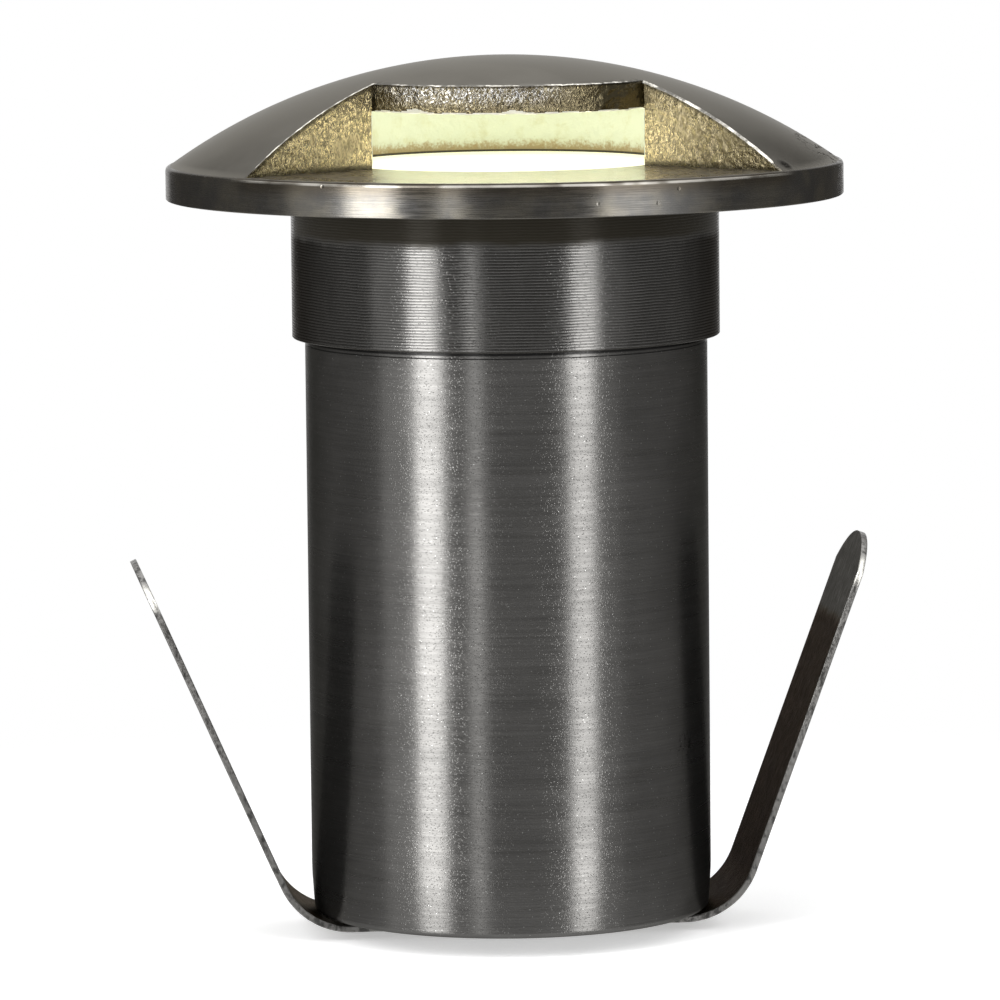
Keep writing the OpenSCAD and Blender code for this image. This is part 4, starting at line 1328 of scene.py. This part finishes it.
class WELL_OT_driver(bpy.types.Operator):
    """Driver board with its parts, wires and winding"""

    bl_idname = "well.driver"
    bl_label = "Driver"

    def execute(self, context):
        black = moulded_plastic("driver_black_epoxy", (0.02, 0.02, 0.021), 0.5)
        dress(
            driver_board=board_mask("driver_green_mask", (0.02, 0.16, 0.06), (0.7, 0.68, 0.64), 2.6),
            driver_inductor=wound_drum("driver_inductor"),
            driver_capacitors=shrunk_sleeve("driver_capacitors"),
            driver_chip=black,
            driver_diodes=black,
            lead_red=moulded_plastic("wire_red_sleeve", (0.45, 0.03, 0.02), 0.36),
            lead_black=moulded_plastic("wire_black_sleeve", (0.02, 0.02, 0.02), 0.36),
        )
        return {"FINISHED"}


class WELL_OT_potting(bpy.types.Operator):
    """Cast resin in the foot of the housing"""

    bl_idname = "well.potting"
    bl_label = "Potting"

    def execute(self, context):
        dress(potting_plug=cast_resin())
        return {"FINISHED"}


class WELL_OT_stage(bpy.types.Operator):
    """Floor, soft lamps, pale surround and camera"""

    bl_idname = "well.stage"
    bl_label = "Stage"

    def surround(self, stage):
        """A white background, and an even light of its own level."""
        world = bpy.data.worlds.new("pale_surround")
        bpy.context.scene.world = world
        world.use_nodes = True
        graph = Graph(world.node_tree)
        back = graph.nodes["Background"]
        level = graph.add("ShaderNodeMapRange", graph.seen(), 0.0, 1.0, stage.surround, 1.0)
        graph.feed(back.inputs["Color"], WHITE)
        graph.feed(back.inputs["Strength"], level.outputs[0])

    def floor(self, stage):
        """Pale floor that fades into the background, keeps the light's shadow and is clear from below."""
        bm = bmesh.new()
        bmesh.ops.create_circle(bm, cap_ends=True, segments=96, radius=stage.floor_radius)
        bmesh.ops.translate(bm, verts=bm.verts, vec=(0, 0, cad_box[0].z - 0.01 * MM))
        paper = Finish("floor_pale_paper", (0.9, 0.9, 0.9), 0.0, 0.9)
        paper.bump(paper.grain(0.4, 2.0, 0.5), 0.02)
        plain = paper.shader.outputs[0]
        glow = paper.add("ShaderNodeEmission", WHITE, 0.42).outputs[0]
        lit = paper.add("ShaderNodeAddShader", plain, glow).outputs[0]
        seen = paper.add("ShaderNodeMixShader", paper.seen(), plain, lit).outputs[0]
        outside = paper.band(paper.radius(), 0.35 * stage.floor_radius, 0.96 * stage.floor_radius)
        below = paper.add("ShaderNodeNewGeometry").outputs["Backfacing"]
        gone = paper.maths("MAXIMUM", outside, below)
        clear = paper.add("ShaderNodeBsdfTransparent").outputs[0]
        fade = paper.add("ShaderNodeMixShader", gone, seen, clear).outputs[0]
        paper.feed(paper.nodes["Material Output"].inputs["Surface"], fade)
        floor = piece("floor", bm, [paper])
        floor.visible_glossy = False
        floor.visible_diffuse = False

    def card(self, stage):
        """Dark card round the light, open high up behind it, which only reflections see."""
        bm = bmesh.new()
        start = Matrix.Rotation(stage.azimuth + math.radians(-158), 3, "Z")
        for low_z, high_z, sweep in ((-0.6, -0.12, 360), (-0.12, 0.95, 322)):
            ends = [bm.verts.new((0.0, -1.3, z)) for z in (low_z, high_z)]
            edge = bm.edges.new(ends)
            bmesh.ops.rotate(bm, cent=(0, 0, 0), matrix=start, verts=ends)
            turn = {"angle": math.radians(sweep), "steps": 90, "use_merge": sweep == 360}
            bmesh.ops.spin(bm, geom=[*ends, edge], axis=(0, 0, 1), **turn)
        grey = Finish("card_dark_grey", (0.0, 0.0, 0.0), 0.0, 1.0)
        grey.set("Specular IOR Level", 0.0)
        grey.set("Emission Color", (1.0, 0.98, 0.95, 1.0))
        grey.set("Emission Strength", stage.card_level)
        card = piece("dark_card", bm, [grey])
        for kind in ("camera", "diffuse", "transmission", "volume_scatter", "shadow"):
            setattr(card, "visible_" + kind, False)

    def lamp(self, name, shape, width, height, energy):
        """An area lamp that the camera doesn't see."""
        data = bpy.data.lights.new(name, "AREA")
        data.shape = shape
        data.size, data.size_y = width, height
        data.energy = energy
        lamp = bpy.data.objects.new(name, data)
        bpy.context.scene.collection.objects.link(lamp)
        lamp.visible_camera = False
        return lamp

    def lamps(self):
        """Soft rectangular lamps of an even brightness, turned to the light."""
        for name, (azimuth, height, distance, wide, tall, radiance) in LAMPS.items():
            lamp = self.lamp(name, "RECTANGLE", wide, tall, radiance * math.pi * wide * tall)
            a = math.radians(azimuth)
            lamp.location = (math.sin(a) * distance, -math.cos(a) * distance, height)
            aim = Vector((0.0, 0.0, -30 * MM)) - lamp.location
            lamp.rotation_euler = aim.to_track_quat("-Z", "Y").to_euler()

    def beam(self):
        """The light's own beam, as it leaves the glass."""
        radius = 13 * MM
        lamp = self.lamp("glass_beam", "DISK", 2 * radius, 2 * radius, 1.85 * math.pi * math.pi * radius**2)
        lamp.data.color = (1.0, 0.93, 0.68)
        lamp.location = (0.0, 0.0, FLOOR_Z + 0.15 * MM)
        lamp.rotation_euler = (math.pi, 0.0, 0.0)

    def camera(self, stage):
        data = bpy.data.cameras.new("photo_camera")
        data.sensor_width = 36.0
        data.lens = stage.focal
        data.clip_start, data.clip_end = 0.01, 20.0
        camera = bpy.data.objects.new("photo_camera", data)
        bpy.context.scene.collection.objects.link(camera)
        bpy.context.scene.camera = camera
        e = stage.elevation
        back, rise = stage.distance * math.cos(e), stage.distance * math.sin(e)
        place = Matrix.Translation((stage.target_x, -back, stage.target_z + rise))
        tilt = Matrix.Rotation(math.pi / 2 - e, 4, "X") @ Matrix.Rotation(stage.roll, 4, "Z")
        camera.matrix_world = Matrix.Rotation(stage.azimuth, 4, "Z") @ place @ tilt

    def execute(self, context):
        stage = context.scene.well_stage
        self.surround(stage)
        self.floor(stage)
        self.card(stage)
        self.lamps()
        self.beam()
        self.camera(stage)
        context.scene.view_settings.view_transform = "Standard"
        return {"FINISHED"}


class WELL_PT_panel(bpy.types.Panel):
    """Lists the light's sizes, colours and pieces in the sidebar"""

    bl_idname = "WELL_PT_panel"
    bl_label = "Well light"
    bl_space_type = "VIEW_3D"
    bl_region_type = "UI"
    bl_category = "Well light"

    def draw(self, context):
        for operator in PIECES:
            self.layout.operator(operator.bl_idname)
        for name, group in GROUPS.items():
            box = self.layout.box()
            for key in group.__annotations__:
                box.prop(getattr(context.scene, name), key)


PIECES = [
    WELL_OT_cap, WELL_OT_glass, WELL_OT_tube, WELL_OT_base, WELL_OT_clip, WELL_OT_seals, WELL_OT_cable_entry,
    WELL_OT_light_engine, WELL_OT_heat_sink, WELL_OT_driver, WELL_OT_potting, WELL_OT_stage,
]


def register():
    for name, group in GROUPS.items():
        bpy.utils.register_class(group)
        setattr(bpy.types.Scene, name, PointerProperty(type=group))
    for cls in [*PIECES, WELL_PT_panel]:
        bpy.utils.register_class(cls)


def unregister():
    for cls in [WELL_PT_panel, *reversed(PIECES)]:
        bpy.utils.unregister_class(cls)
    for name, group in reversed(GROUPS.items()):
        delattr(bpy.types.Scene, name)
        bpy.utils.unregister_class(group)


def main():
    """Builds every piece."""
    register()
    for operator in PIECES:
        getattr(bpy.ops.well, operator.bl_idname.split(".")[1])()


if __name__ == "__main__":
    main()
